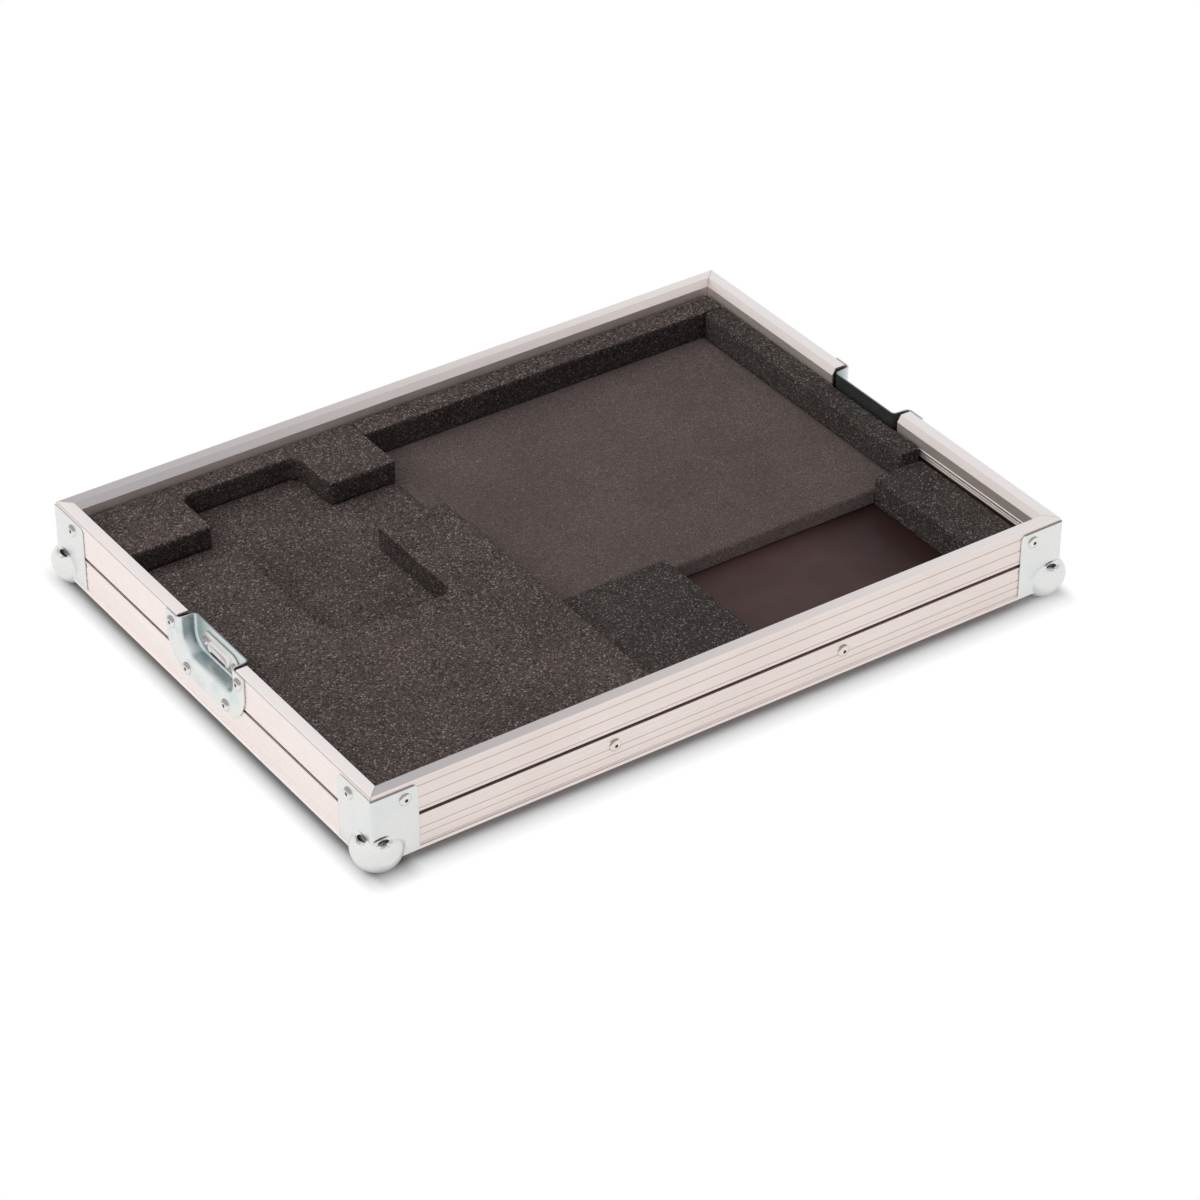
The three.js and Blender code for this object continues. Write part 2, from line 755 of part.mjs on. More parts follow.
function addMesh(parent, name, geometry, finish, position) {
  const mesh = new THREE.Mesh(geometry, new THREE.MeshStandardMaterial(finish));
  mesh.name = name;
  if (position) {
    mesh.position.set(...position);
  }
  parent.add(mesh);
  return mesh;
}

// A group at the middle of a wall's outer face, X along the wall and Y inwards.
function addWallFrame(x, y, turn) {
  const frame = new THREE.Group();
  frame.position.set(x, y, 0);
  frame.rotation.z = turn;
  tray.add(frame);
  return frame;
}

// Rivets in a wall, heads outwards, seated on a face at the given distance outside the wall.
function addWallRivets(frame, name, places, face, headRadius, shankLength) {
  places.forEach((place, index) => {
    const geometry = rivet(headRadius, shankLength).rotateX(Math.PI);
    addMesh(frame, `${name}_${index + 1}`, geometry, steelRivet, [place[0], -face, place[1]]);
  });
}

const shankInPanel = panelOuterFace + rivetPanelReach;

// Floor between the wall panels
addMesh(tray, 'floor_panel', cut(
  block(
    [-caseLength / 2 + panelInnerFace + panelFit, -caseWidth / 2 + panelInnerFace + panelFit, profileWall + panelFit],
    [caseLength / 2 - panelInnerFace - panelFit, caseWidth / 2 - panelInnerFace - panelFit, floorTop],
  ),
  footRivetPlaces().map((place) => (
    rod(holeRadius, 'z', -overrun, shankInPanel + rivetHoleFit, place[0], place[1])
  )),
), floorFilm);

// Long walls
for (const [side, x, y, turn] of [['front', 0, -caseWidth / 2, 0], ['back', 0, caseWidth / 2, Math.PI]]) {
  const frame = addWallFrame(x, y, turn);
  const cornerHoles = wallHoles(cornerRivetPlaces(caseLength));
  const half = caseLength / 2;
  addMesh(frame, `rim_${side}`, cut(profileRun(rimSection(), -half, half, true, true), cornerHoles), aluminium);
  addMesh(frame, `base_angle_${side}`, baseAngle(caseLength, wallRivetPlaces(), false), aluminium);
  const panelLength = caseLength - 2 * panelOuterFace;
  const holePlaces = [...cornerRivetPlaces(caseLength), ...wallRivetPlaces()];
  addMesh(frame, `wall_panel_${side}`, wallPanel(panelLength, false, holePlaces), plywood);
  addWallRivets(frame, `wall_rivet_${side}`, wallRivetPlaces(), 0, rivetHeadRadius, shankInPanel);
}

// Short walls with their latch dishes
for (const [side, x, turn] of [['left', -caseLength / 2, -Math.PI / 2], ['right', caseLength / 2, Math.PI / 2]]) {
  const frame = addWallFrame(x, 0, turn);
  const half = caseWidth / 2;
  const ends = side === 'left' ? ['back', 'front'] : ['front', 'back'];
  const holes = wallHoles([...cornerRivetPlaces(caseWidth), ...dishRivetPlaces()]);
  const runs = [profileRun(rimSection(), -half, -rimCutWidth / 2, true, false),
    profileRun(rimSection(), rimCutWidth / 2, half, false, true)];
  runs.forEach((run, index) => addMesh(frame, `rim_${side}_${ends[index]}`, cut(run, holes), aluminium));
  addMesh(frame, `base_angle_${side}`, baseAngle(caseWidth, dishRivetPlaces(), true), aluminium);
  const panelLength = caseWidth - 2 * panelInnerFace - 2 * panelFit;
  const holePlaces = [...cornerRivetPlaces(caseWidth), ...dishRivetPlaces()];
  addMesh(frame, `wall_panel_${side}`, wallPanel(panelLength, true, holePlaces), plywood);
  addMesh(frame, `latch_dish_${side}`, latchDish(), zinc);
  addMesh(frame, `keeper_plate_${side}`, keeperPlate(), zinc);
  const throughDish = sheetFace + shankInPanel;
  addWallRivets(frame, `dish_rivet_${side}`, dishRivetPlaces(), sheetFace, rivetHeadRadius, throughDish);
  const keeperFace = sheetFit + sheetThickness - dishDepth;
  const keeperShank = 2 * sheetThickness + sheetFit + keeperRivetTail;
  addWallRivets(frame, `keeper_rivet_${side}`, keeperRivetPlaces(), keeperFace, keeperRivetHeadRadius, keeperShank);
}

// Ball corners with a rivet in each leg and in the foot
const cornerFrames = [
  ['front_left', -1, -1, 0, true],
  ['front_right', 1, -1, Math.PI / 2, false],
  ['back_right', 1, 1, Math.PI, true],
  ['back_left', -1, 1, -Math.PI / 2, false],
];
for (const [name, sideX, sideY, turn, longIsX] of cornerFrames) {
  const frame = addWallFrame((sideX * caseLength) / 2, (sideY * caseWidth) / 2, turn);
  const reachX = longIsX ? cornerLongWallLeg : cornerShortWallLeg;
  const reachY = longIsX ? cornerShortWallLeg : cornerLongWallLeg;
  const foot = longIsX ? [footRivetInset, footRivetSide] : [footRivetSide, footRivetInset];
  addMesh(frame, `ball_corner_${name}`, ballCorner(reachX, reachY, foot), zinc);
  const up = caseHeight - cornerRivetDrop;
  const shank = sheetFace + shankInPanel;
  const alongX = rivet(rivetHeadRadius, shank).rotateX(Math.PI);
  const alongY = rivet(rivetHeadRadius, shank).rotateZ(Math.PI / 2);
  const underneath = rivet(rivetHeadRadius, shank).rotateX(-Math.PI / 2);
  addMesh(frame, `corner_rivet_${name}_1`, alongX, steelRivet, [cornerRivetInset, -sheetFace, up]);
  addMesh(frame, `corner_rivet_${name}_2`, alongY, steelRivet, [-sheetFace, cornerRivetInset, up]);
  addMesh(frame, `corner_rivet_${name}_foot`, underneath, steelRivet, [foot[0], foot[1], -sheetFace]);
}

// Foam insert, laid on the floor
const floorLevel = [0, 0, floorTop];
const upperLevel = [0, 0, floorTop + foamLowerLayer];
addMesh(tray, 'foam_left_base', foamBox(foamLeft, foamFront, leftEnd, foamBack, foamLowerLayer), coarseFoam, floorLevel);
addMesh(tray, 'foam_front_block', cut(
  plate(frontBlockShape(), foamUpperLayer),
  [dishNotch(-1, floorTop + foamLowerLayer)],
), coarseFoam, upperLevel);
addMesh(tray, 'foam_back_block', plate(backBlockShape(), foamUpperLayer), coarseFoam, upperLevel);
addMesh(tray, 'foam_back_strip', foamBox(
  leftEnd + foamFit, backStripFront, foamRight, foamBack, foamFullHeight,
), coarseFoam, floorLevel);
addMesh(tray, 'foam_right_strip', cut(
  foamBox(rightStripLeft, frontBlocksBack + foamFit, foamRight, backStripFront - foamFit, foamFullHeight),
  [dishNotch(1, floorTop)],
), coarseFoam, floorLevel);
// In a narrower tray the right dish's notch reaches this block too.
addMesh(tray, 'foam_right_block', cut(
  foamBox(rightBlockLeft, foamFront, foamRight, frontBlocksBack, foamBlockHeight),
  [dishNotch(1, floorTop)],
), coarseFoam, floorLevel);
addMesh(tray, 'foam_centre_block', foamBox(
  leftEnd + foamFit, foamFront, centreRight, frontBlocksBack, foamBlockHeight,
), coarseFoam, floorLevel);
addMesh(tray, 'foam_pit_sheet', foamBox(
  leftEnd + foamFit, frontBlocksBack + foamFit, rightStripLeft - foamFit, backStripFront - foamFit, foamSheetHeight,
), fineFoam, floorLevel);

export default part;
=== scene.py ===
"""Looks of a pedal case tray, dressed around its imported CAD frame.

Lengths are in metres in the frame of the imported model: +X runs along the long side, the front wall
faces -Y and +Z points up through the open top. Wall pieces are modelled in a wall's own directions,
X along the wall, Y inwards from its outer face and Z up, and are then carried to their walls.
"""
import logging
import math
from dataclasses import dataclass
from enum import Enum
from typing import Any, Callable, Sequence

import bmesh
import bpy
from mathutils import Matrix, Vector

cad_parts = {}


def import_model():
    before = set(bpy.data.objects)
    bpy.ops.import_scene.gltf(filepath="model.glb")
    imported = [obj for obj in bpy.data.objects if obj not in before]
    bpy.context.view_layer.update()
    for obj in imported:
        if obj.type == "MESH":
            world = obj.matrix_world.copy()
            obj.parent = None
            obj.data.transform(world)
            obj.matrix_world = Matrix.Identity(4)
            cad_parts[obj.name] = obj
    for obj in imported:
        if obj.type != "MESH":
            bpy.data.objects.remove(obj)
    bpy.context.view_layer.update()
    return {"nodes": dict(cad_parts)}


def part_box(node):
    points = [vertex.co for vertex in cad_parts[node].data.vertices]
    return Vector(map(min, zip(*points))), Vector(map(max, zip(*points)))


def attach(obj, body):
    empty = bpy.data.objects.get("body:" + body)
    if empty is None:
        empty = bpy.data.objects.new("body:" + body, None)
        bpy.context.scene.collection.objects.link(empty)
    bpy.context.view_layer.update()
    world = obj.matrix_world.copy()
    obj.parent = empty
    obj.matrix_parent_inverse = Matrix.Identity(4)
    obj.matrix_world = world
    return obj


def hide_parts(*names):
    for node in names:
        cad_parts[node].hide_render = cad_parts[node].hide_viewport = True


LOG = logging.getLogger("pedal_case_tray")
MM = 0.001
# Two places this close together are the same place on a new piece, and on one already bent or cut.
EXACT = 0.01 * MM
CLOSE = 0.05 * MM
BODY = "root"
HOLE = "hole"
Colour = tuple[float, float, float]
Point = tuple[float, float, float]
Socket = bpy.types.NodeSocket
WHITE: Colour = (1.0, 1.0, 1.0)


class Along(Enum):
    """The direction in which a profile was drawn, which its fine lines follow."""

    X = "x"
    Y = "y"


class Wall(Enum):
    """The four walls, each with its turn from the front wall's direction, in quarter turns."""

    FRONT = 0
    RIGHT = 1
    BACK = 2
    LEFT = 3


def deselect_all() -> None:
    """Leaves edit mode and selects nothing."""
    if bpy.context.object and bpy.context.object.mode != "OBJECT":
        bpy.ops.object.mode_set(mode="OBJECT")
    bpy.ops.object.select_all(action="DESELECT")


def middle(element: Any) -> Vector:
    """Finds the middle of a vertex, edge or face.

    Args:
        element: A bmesh vertex, edge or face.

    Returns:
        The mean of its corner points.
    """
    if isinstance(element, bmesh.types.BMVert):
        return element.co.copy()
    points = [vertex.co for vertex in element.verts]
    return sum(points, Vector()) / len(points)


class Workpiece:
    """One mesh object on the bench, shaped with edit-mode operators."""

    def __init__(self, obj: bpy.types.Object, name: str) -> None:
        """Takes an object onto the bench under a name.

        Args:
            obj: The mesh object.
            name: Its name in the finished model.
        """
        self.obj = obj
        self.obj.name = name
        self.obj.data.name = name

    @classmethod
    def cube(cls, name: str, low: Sequence[float], high: Sequence[float]) -> "Workpiece":
        """Starts a piece from a cube between two corners.

        Args:
            name: The piece's name.
            low: Lowest corner.
            high: Highest corner.

        Returns:
            The new piece, in object mode.
        """
        deselect_all()
        low, high = Vector(low), Vector(high)
        bpy.ops.mesh.primitive_cube_add(size=1.0, location=(low + high) / 2, scale=high - low)
        return cls(bpy.context.object, name).settle()

    @classmethod
    def plane(cls, name: str, centre: Point, size: tuple[float, float], upright: bool) -> "Workpiece":
        """Starts a piece from one rectangle.

        Args:
            name: The piece's name.
            centre: Its middle.
            size: Its width along X and its height along Y, or along Z when it stands.
            upright: True to stand it up facing -Y, False to lay it facing +Z.

        Returns:
            The new piece, in object mode.
        """
        deselect_all()
        turn = (math.pi / 2, 0.0, 0.0) if upright else (0.0, 0.0, 0.0)
        bpy.ops.mesh.primitive_plane_add(size=1.0, location=centre, rotation=turn)
        bpy.context.object.scale = (*size, 1.0)
        return cls(bpy.context.object, name).settle()

    @classmethod
    def ball(cls, name: str, centre: Point, radius: float,
             stretch: Point = (1.0, 1.0, 1.0)) -> "Workpiece":
        """Starts a piece from a sphere, or an ellipsoid.

        Args:
            name: The piece's name.
            centre: Its middle.
            radius: Its radius.
            stretch: Stretch along the three axes.

        Returns:
            The new piece, in object mode.
        """
        deselect_all()
        bpy.ops.mesh.primitive_uv_sphere_add(
            segments=64, ring_count=32, radius=radius, location=centre, scale=stretch
        )
        return cls(bpy.context.object, name).settle()

    @classmethod
    def disc(cls, name: str, radius: float, sides: int) -> "Workpiece":
        """Starts a piece from a flat disc facing +Z at the origin.

        Args:
            name: The piece's name.
            radius: Its radius.
            sides: Number of sides.

        Returns:
            The new piece, in object mode.
        """
        deselect_all()
        bpy.ops.mesh.primitive_circle_add(vertices=sides, radius=radius, fill_type="NGON")
        return cls(bpy.context.object, name).settle()

    def settle(self) -> "Workpiece":
        """Bakes the object's place into its mesh.

        Returns:
            The piece.
        """
        self.make_active()
        bpy.ops.object.transform_apply(location=True, rotation=True, scale=True)
        return self

    def make_active(self) -> None:
        """Selects this piece alone and makes it active."""
        deselect_all()
        self.obj.select_set(True)
        bpy.context.view_layer.objects.active = self.obj

    def edit(self, mode: str = "EDGE") -> None:
        """Enters edit mode with nothing selected.

        Args:
            mode: VERT, EDGE or FACE.
        """
        self.make_active()
        bpy.ops.object.mode_set(mode="EDIT")
        bpy.ops.mesh.select_mode(type=mode)
        bpy.ops.mesh.select_all(action="DESELECT")

    def pick(self, kind: str, test: Callable[[Any], bool]) -> int:
        """Selects the elements that pass a test, and nothing else.

        Args:
            kind: verts, edges or faces.
            test: Takes a bmesh element and says whether to select it.

        Returns:
            How many were selected.
        """
        bpy.ops.mesh.select_mode(type={"verts": "VERT", "edges": "EDGE", "faces": "FACE"}[kind])
        bpy.ops.mesh.select_all(action="DESELECT")
        mesh = bmesh.from_edit_mesh(self.obj.data)
        found = [element for element in getattr(mesh, kind) if test(element)]
        for element in found:
            element.select_set(True)
        bmesh.update_edit_mesh(self.obj.data)
        return len(found)

    def done(self) -> "Workpiece":
        """Leaves edit mode and returns the piece."""
        bpy.ops.object.mode_set(mode="OBJECT")
        return self

    def extrude_path(self, steps: Sequence[Vector]) -> None:
        """Extrudes the selected edge along a list of moves, in edit mode.

        Args:
            steps: The moves, one after the other.
        """
        for step in steps:
            bpy.ops.mesh.extrude_region_move(TRANSFORM_OT_translate={"value": step})

    def inset_path(self, steps: Sequence[tuple[float, float]]) -> None:
        """Insets the selected face again and again, in edit mode.

        Args:
            steps: Pairs of the width of each ring and how far it rises.
        """
        for width, rise in steps:
            bpy.ops.mesh.inset(thickness=width, depth=rise, use_even_offset=True, use_boundary=True)

    def face_outwards(self, direction: Point) -> "Workpiece":
        """Makes the normals agree, with the piece's main faces towards a direction.

        Args:
            direction: Where most of the open sheet should face.

        Returns:
            The piece, in object mode.
        """
        self.edit("FACE")
        bpy.ops.mesh.select_all(action="SELECT")
        bpy.ops.mesh.remove_doubles(threshold=EXACT)
        bpy.ops.mesh.normals_make_consistent(inside=False)
        mesh = bmesh.from_edit_mesh(self.obj.data)
        towards = Vector(direction)
        facing = sum(face.normal.dot(towards) * face.calc_area() for face in mesh.faces)
        if facing < 0:
            bpy.ops.mesh.flip_normals()
        return self.done()

    def slice(self, point: Point, normal: Point) -> "Workpiece":
        """Cuts the piece along a plane, keeps the side the normal points to, and closes the cut.

        Args:
            point: A point of the plane.
            normal: The plane's normal, towards what stays.

        Returns:
            The piece, in object mode.
        """
        self.edit("FACE")
        bpy.ops.mesh.select_all(action="SELECT")
        bpy.ops.mesh.bisect(plane_co=point, plane_no=normal, use_fill=True, clear_inner=True)
        return self.done()

    def modify(self, kind: str, **settings: Any) -> "Workpiece":
        """Adds a modifier and applies it.

        Args:
            kind: The modifier's type.
            **settings: Its settings.

        Returns:
            The piece, in object mode.
        """
        self.make_active()
        modifier = self.obj.modifiers.new(kind.lower(), kind)
        for key, value in settings.items():
            setattr(modifier, key, value)
        bpy.ops.object.modifier_apply(modifier=modifier.name)
        return self

    def carve(self, tool: "Workpiece", operation: str = "DIFFERENCE") -> "Workpiece":
        """Cuts another piece out of this one, or joins it on, and removes the other.

        Args:
            tool: The other piece.
            operation: DIFFERENCE, UNION or INTERSECT.

        Returns:
            This piece, in object mode.
        """
        self.modify("BOOLEAN", operation=operation, object=tool.obj, solver="EXACT")
        tool.scrap()
        return self

    def join(self, *others: "Workpiece") -> "Workpiece":
        """Takes other pieces into this one as they lie.

        Args:
            *others: The other pieces.

        Returns:
            This piece.
        """
        self.make_active()
        for other in others:
            other.obj.select_set(True)
        bpy.ops.object.join()
        return self

    def round_edges(self, width: float, least: float = 50.0) -> "Workpiece":
        """Rounds the edges that turn by more than an angle in degrees and returns the piece."""
        return self.modify("BEVEL", width=width, segments=2, limit_method="ANGLE",
                           angle_limit=math.radians(least))

    def smooth(self, degrees: float) -> "Workpiece":
        """Shades smooth where faces meet below an angle.

        Args:
            degrees: The angle.

        Returns:
            The piece.
        """
        self.make_active()
        bpy.ops.object.shade_smooth_by_angle(angle=math.radians(degrees))
        return self

    def polish(self, degrees: float) -> "Workpiece":
        """Shades smooth with normals that follow the larger faces and returns the piece."""
        return self.smooth(degrees).modify("WEIGHTED_NORMAL", keep_sharp=True, weight=80)

    def scrap(self) -> None:
        """Takes the piece off the bench for good."""
        bpy.data.objects.remove(self.obj)

    def move_mesh(self, matrix: Matrix) -> "Workpiece":
        """Moves the mesh itself, and turns it right side out again when mirrored.

        Args:
            matrix: The move.

        Returns:
            The piece.
        """
        self.obj.data.transform(matrix)
        if matrix.determinant() < 0:
            self.obj.data.flip_normals()
        return self

    def copy(self, name: str, matrix: Matrix) -> "Workpiece":
        """Copies the piece with its own mesh, moved.

        Args:
            name: The copy's name.
            matrix: The move from this piece to the copy.

        Returns:
            The copy.
        """
        twin = self.obj.copy()
        twin.data = self.obj.data.copy()
        bpy.context.scene.collection.objects.link(twin)
        return Workpiece(twin, name).move_mesh(matrix)

    def finish(self, finish: bpy.types.Material, slot: str, *nodes: str) -> "Workpiece":
        """Dresses the piece and puts it on the body in place of its CAD nodes.

        Args:
            finish: Its material.
            slot: The name of a material slot; not used.
            *nodes: The CAD nodes that it stands for.

        Returns:
            The piece.
        """
        self.obj.data.materials.clear()
        self.obj.data.materials.append(finish)
        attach(self.obj, BODY)
        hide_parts(*nodes)
        LOG.info("%s: %d faces", self.obj.name, len(self.obj.data.polygons))
        return self


class NodeSheet:
    """The node tree of one material or world, filled with short calls."""

    def __init__(self, tree: bpy.types.NodeTree) -> None:
        """Clears the tree.

        Args:
            tree: The tree to fill.
        """
        self.tree = tree
        self.tree.nodes.clear()

    def add(self, kind: str, inputs: dict[Any, Any], **settings: Any) -> bpy.types.Node:
        """Adds a node.

        Args:
            kind: The node's type, without the words ShaderNode.
            inputs: Values or sockets for its inputs, by name or number.
            **settings: Its settings.

        Returns:
            The new node.
        """
        node = self.tree.nodes.new("ShaderNode" + kind)
        for key, value in settings.items():
            setattr(node, key, value)
        for key, value in inputs.items():
            if isinstance(value, Socket):
                self.tree.links.new(value, node.inputs[key])
            else:
                node.inputs[key].default_value = value
        return node

    def place(self, stretch: Point = (1.0, 1.0, 1.0)) -> Socket:
        """Reads Object coordinates, stretched along the axes, and returns their socket."""
        coords = self.add("TexCoord", {}).outputs["Object"]
        return self.add("Mapping", {"Vector": coords, "Scale": stretch}).outputs["Vector"]

    def axes(self, vector: Socket) -> Sequence[Socket]:
        """Takes a vector apart and returns the sockets of its three numbers."""
        return self.add("SeparateXYZ", {"Vector": vector}).outputs

    def facing(self, axis: int, kind: str = "Normal") -> Socket:
        """Returns the socket of how far the surface faces along an axis."""
        return self.axes(self.add("NewGeometry", {}).outputs[kind])[axis]

    def calc(self, operation: str, *values: Any) -> Socket:
        """Works out one sum with numbers or sockets and returns its socket."""
        return self.add("Math", dict(enumerate(values)), operation=operation).outputs[0]

    def vector(self, operation: str, *values: Any, result: str = "Vector") -> Socket:
        """Works out one sum with vectors or their sockets and returns its socket."""
        return self.add("VectorMath", dict(enumerate(values)), operation=operation).outputs[result]

    def near(self, place: Socket, centre: Point, radii: Point) -> Socket:
        """Says 1 inside an ellipsoid and 0 outside it, with a soft edge.

        Args:
            place: The socket of the place.
            centre: The middle of the ellipsoid.
            radii: Its radii.

        Returns:
            The result's socket.
        """
        shrink = tuple(1.0 / radius for radius in radii)
        away = self.vector("MULTIPLY", self.vector("SUBTRACT", place, centre), shrink)
        return self.spread(self.vector("LENGTH", away, result="Value"), 0.5, 1.1, 1.0, 0.0)

    def noise(self, where: Socket, scale: float, detail: float = 2.0) -> Socket:
        """Adds a noise and returns its grey socket."""
        return self.add("TexNoise", {"Vector": where, "Scale": scale, "Detail": detail}).outputs["Fac"]

    def spread(self, value: Socket, low: float, high: float,
               start: float = 0.0, end: float = 1.0) -> Socket:
        """Maps a grey value to a range.

        Args:
            value: The grey socket.
            low: Input value for the start.
            high: Input value for the end.
            start: Result at the low value.
            end: Result at the high value.

        Returns:
            The result's socket.
        """
        inputs = {"Value": value, "From Min": low, "From Max": high, "To Min": start, "To Max": end}
        return self.add("MapRange", inputs).outputs["Result"]

    def paint(self, tone: Any, colour: Any, *shares: Any) -> Socket:
        """Lays a colour over a tone.

        Args:
            tone: The colour, or its socket, that lies below.
            colour: The colour, or its socket, that lies on top.
            *shares: Numbers or grey sockets whose product says how much of the top colour shows.

        Returns:
            The mixed colour's socket.
        """
        cover = shares[0]
        for share in shares[1:]:
            cover = self.calc("MULTIPLY", cover, share)
        tone = (*tone, 1.0) if isinstance(tone, tuple) else tone
        colour = (*colour, 1.0) if isinstance(colour, tuple) else colour
        node = self.add("Mix", {0: cover, 6: tone, 7: colour}, data_type="RGBA", blend_type="MIX")
        return node.outputs[2]

    def bump(self, height: Socket, strength: float, depth: float) -> Socket:
        """Turns a height into a normal and returns its socket."""
        inputs = {"Height": height, "Strength": strength, "Distance": depth}
        return self.add("Bump", inputs).outputs["Normal"]

    def surface(self, inputs: dict[Any, Any]) -> None:
        """Ends the sheet with a surface shader.

        Args:
            inputs: Values or sockets for the shader.
        """
        shader = self.add("BsdfPrincipled", inputs).outputs["BSDF"]
        self.add("OutputMaterial", {"Surface": shader})


def new_finish(name: str) -> tuple[bpy.types.Material, NodeSheet]:
    """Makes an empty material.

    Args:
        name: Its name.

    Returns:
        The material and its node sheet.
    """
    material = bpy.data.materials.new(name)
    material.use_nodes = True
    return material, NodeSheet(material.node_tree)


@dataclass(frozen=True)
class DrawnAluminium:
    """Natural aluminium with the fine lines of the die along its length, and painted light, shade and
    reflections.
    """

    base: Colour = (0.91, 0.805, 0.765)
    shade: Colour = (0.78, 0.68, 0.64)
    # Colours of the painted dark reflection and of the painted highlight.
    painted_dark_reflection: Colour = (0.50, 0.465, 0.475)
    painted_highlight: Colour = (1.0, 0.93, 0.91)
    # Colour of the painted shade on the right run's slopes.
    painted_slope_shade: Colour = (0.76, 0.69, 0.66)
    # Colour of the painted shade: in the grooves, on faces that turn downwards and on the left run's
    # slopes near the top.
    painted_shade: Colour = (0.42, 0.35, 0.33)
    metallic: float = 0.72
    roughness: float = 0.36
    line_density: float = 1500.0
    line_stretch: float = 4.0
    line_share: float = 0.5
    line_relief: float = 0.05 * MM
    cloud_size: float = 14.0
    cloud_share: float = 0.25
    flat_rise: tuple[float, float] = (0.80, 0.95)
    sloped_rise: tuple[float, float] = (0.55, 0.25)
    # Width, place and share of the painted shade lines in the grooves.
    groove_shade_half: float = 0.38 * MM
    groove_shade_depth: tuple[float, float] = (1.2 * MM, 1.0 * MM)
    groove_shade_share: tuple[float, float] = (0.5, 0.1)
    # Shares and places of the painted reflections, highlights and shade on the runs.
    long_top_painted_dark: float = 0.85
    long_top_painted_bright: float = 0.8
    lip_depth: tuple[float, float] = (4.0 * MM, 3.0 * MM)
    lip_painted_dark: tuple[float, float] = (1.0, 0.35)
    short_top_painted_bright: tuple[float, float] = (0.85, 1.0)
    left_painted_highlight: float = 0.35
    left_edge_drop: tuple[float, float] = (2.5 * MM, 1.5 * MM)
    left_edge_painted_shade: float = 0.6
    # Share of the painted shade on faces that turn downwards.
    under_painted_shade: float = 0.7

    def paint_groove_shade(self, sheet: NodeSheet, tone: Socket, along: Along,
                      case: "Case", levels: Sequence[float]) -> Socket:
        """Paints shade into the grooves of the outer faces, as dark lines.

        Args:
            sheet: The material's node sheet.
            tone: The aluminium's tone.
            along: The direction in which the profile was drawn.
            case: The case, for its outer faces.
            levels: Heights of the grooves.

        Returns:
            The tone with its painted shade lines.
        """
        across, half, share = 1, case.width / 2, self.groove_shade_share[0]
        if along is Along.Y:
            across, half, share = 0, case.length / 2, self.groove_shade_share[1]
        place = sheet.axes(sheet.place())
        inner, outer = self.groove_shade_depth
        away = sheet.calc("ABSOLUTE", place[across])
        outside = sheet.spread(away, half - inner, half - outer, 0.0, share)
        # Painted shade: a dark line at each groove's level on the outer faces.
        for level in levels:
            line = sheet.calc("COMPARE", place[2], level, self.groove_shade_half)
            tone = sheet.paint(tone, self.painted_shade, line, outside)
        return tone

    def tops_and_slopes(self, sheet: NodeSheet) -> tuple[Socket, Socket]:
        """Finds the level faces, and the slopes that face partly upwards.

        Args:
            sheet: The material's node sheet.

        Returns:
            The sockets of the level faces and of the slopes.
        """
        rise = sheet.facing(2)
        return sheet.spread(rise, *self.flat_rise), sheet.calc("COMPARE", rise, *self.sloped_rise)

    def paint_long_reflections(self, sheet: NodeSheet, tone: Socket, case: "Case") -> Socket:
        """Paints reflections on the front and back runs: a painted dark reflection on top to the left, a
        painted highlight on top to the right and a painted dark reflection on the slanted inner lip.

        Args:
            sheet: The material's node sheet.
            tone: The aluminium's tone.
            case: The case, for its size.

        Returns:
            The tone with its painted reflections.
        """
        place = sheet.axes(sheet.place())
        flat, sloped = self.tops_and_slopes(sheet)
        end, half = case.length / 2, case.width / 2
        # Painted reflection: level tops darker to the left and brighter to the right.
        painted_dark_reflection = sheet.spread(place[0], -end, end, self.long_top_painted_dark, 0.0)
        tone = sheet.paint(tone, self.painted_dark_reflection, flat, painted_dark_reflection)
        painted_bright = sheet.spread(place[0], -end / 3, end, 0.0, self.long_top_painted_bright)
        tone = sheet.paint(tone, self.painted_highlight, flat, painted_bright)
        # Painted dark reflection on the slanted inner lip, stronger to the left.
        inner, outer = (half - depth for depth in self.lip_depth)
        inside = sheet.spread(sheet.calc("ABSOLUTE", place[1]), inner, outer, 1.0, 0.0)
        lip = sheet.calc("MULTIPLY", inside, sheet.spread(place[0], -half, half, *self.lip_painted_dark))
        return sheet.paint(tone, self.painted_dark_reflection, sloped, lip)

    def paint_short_light(self, sheet: NodeSheet, tone: Socket, case: "Case") -> Socket:
        """Paints light on the left and right runs: a painted highlight on top and over the whole left
        run, and painted shade on the right run's slopes and on the left run's slopes near the top.

        Args:
            sheet: The material's node sheet.
            tone: The aluminium's tone.
            case: The case, for its size.

        Returns:
            The tone with its painted light and shade.
        """
        place = sheet.axes(sheet.place())
        flat, sloped = self.tops_and_slopes(sheet)
        end = case.length / 2
        # Painted highlight on the level tops, brighter to the right, and over the whole left run.
        painted_bright = sheet.spread(place[0], -end, end, *self.short_top_painted_bright)
        tone = sheet.paint(tone, self.painted_highlight, flat, painted_bright)
        left = sheet.spread(place[0], -1.0 * MM, 1.0 * MM, 1.0, 0.0)
        tone = sheet.paint(tone, self.painted_highlight, left, self.left_painted_highlight)
        # Painted shade on the right run's slopes and on the left run's slopes near the top.
        tone = sheet.paint(tone, self.painted_slope_shade, sloped, sheet.calc("SUBTRACT", 1.0, left))
        start, full = (case.top - drop for drop in self.left_edge_drop)
        return sheet.paint(
            tone, self.painted_shade, sloped, left, sheet.spread(place[2], start, full), self.left_edge_painted_shade
        )

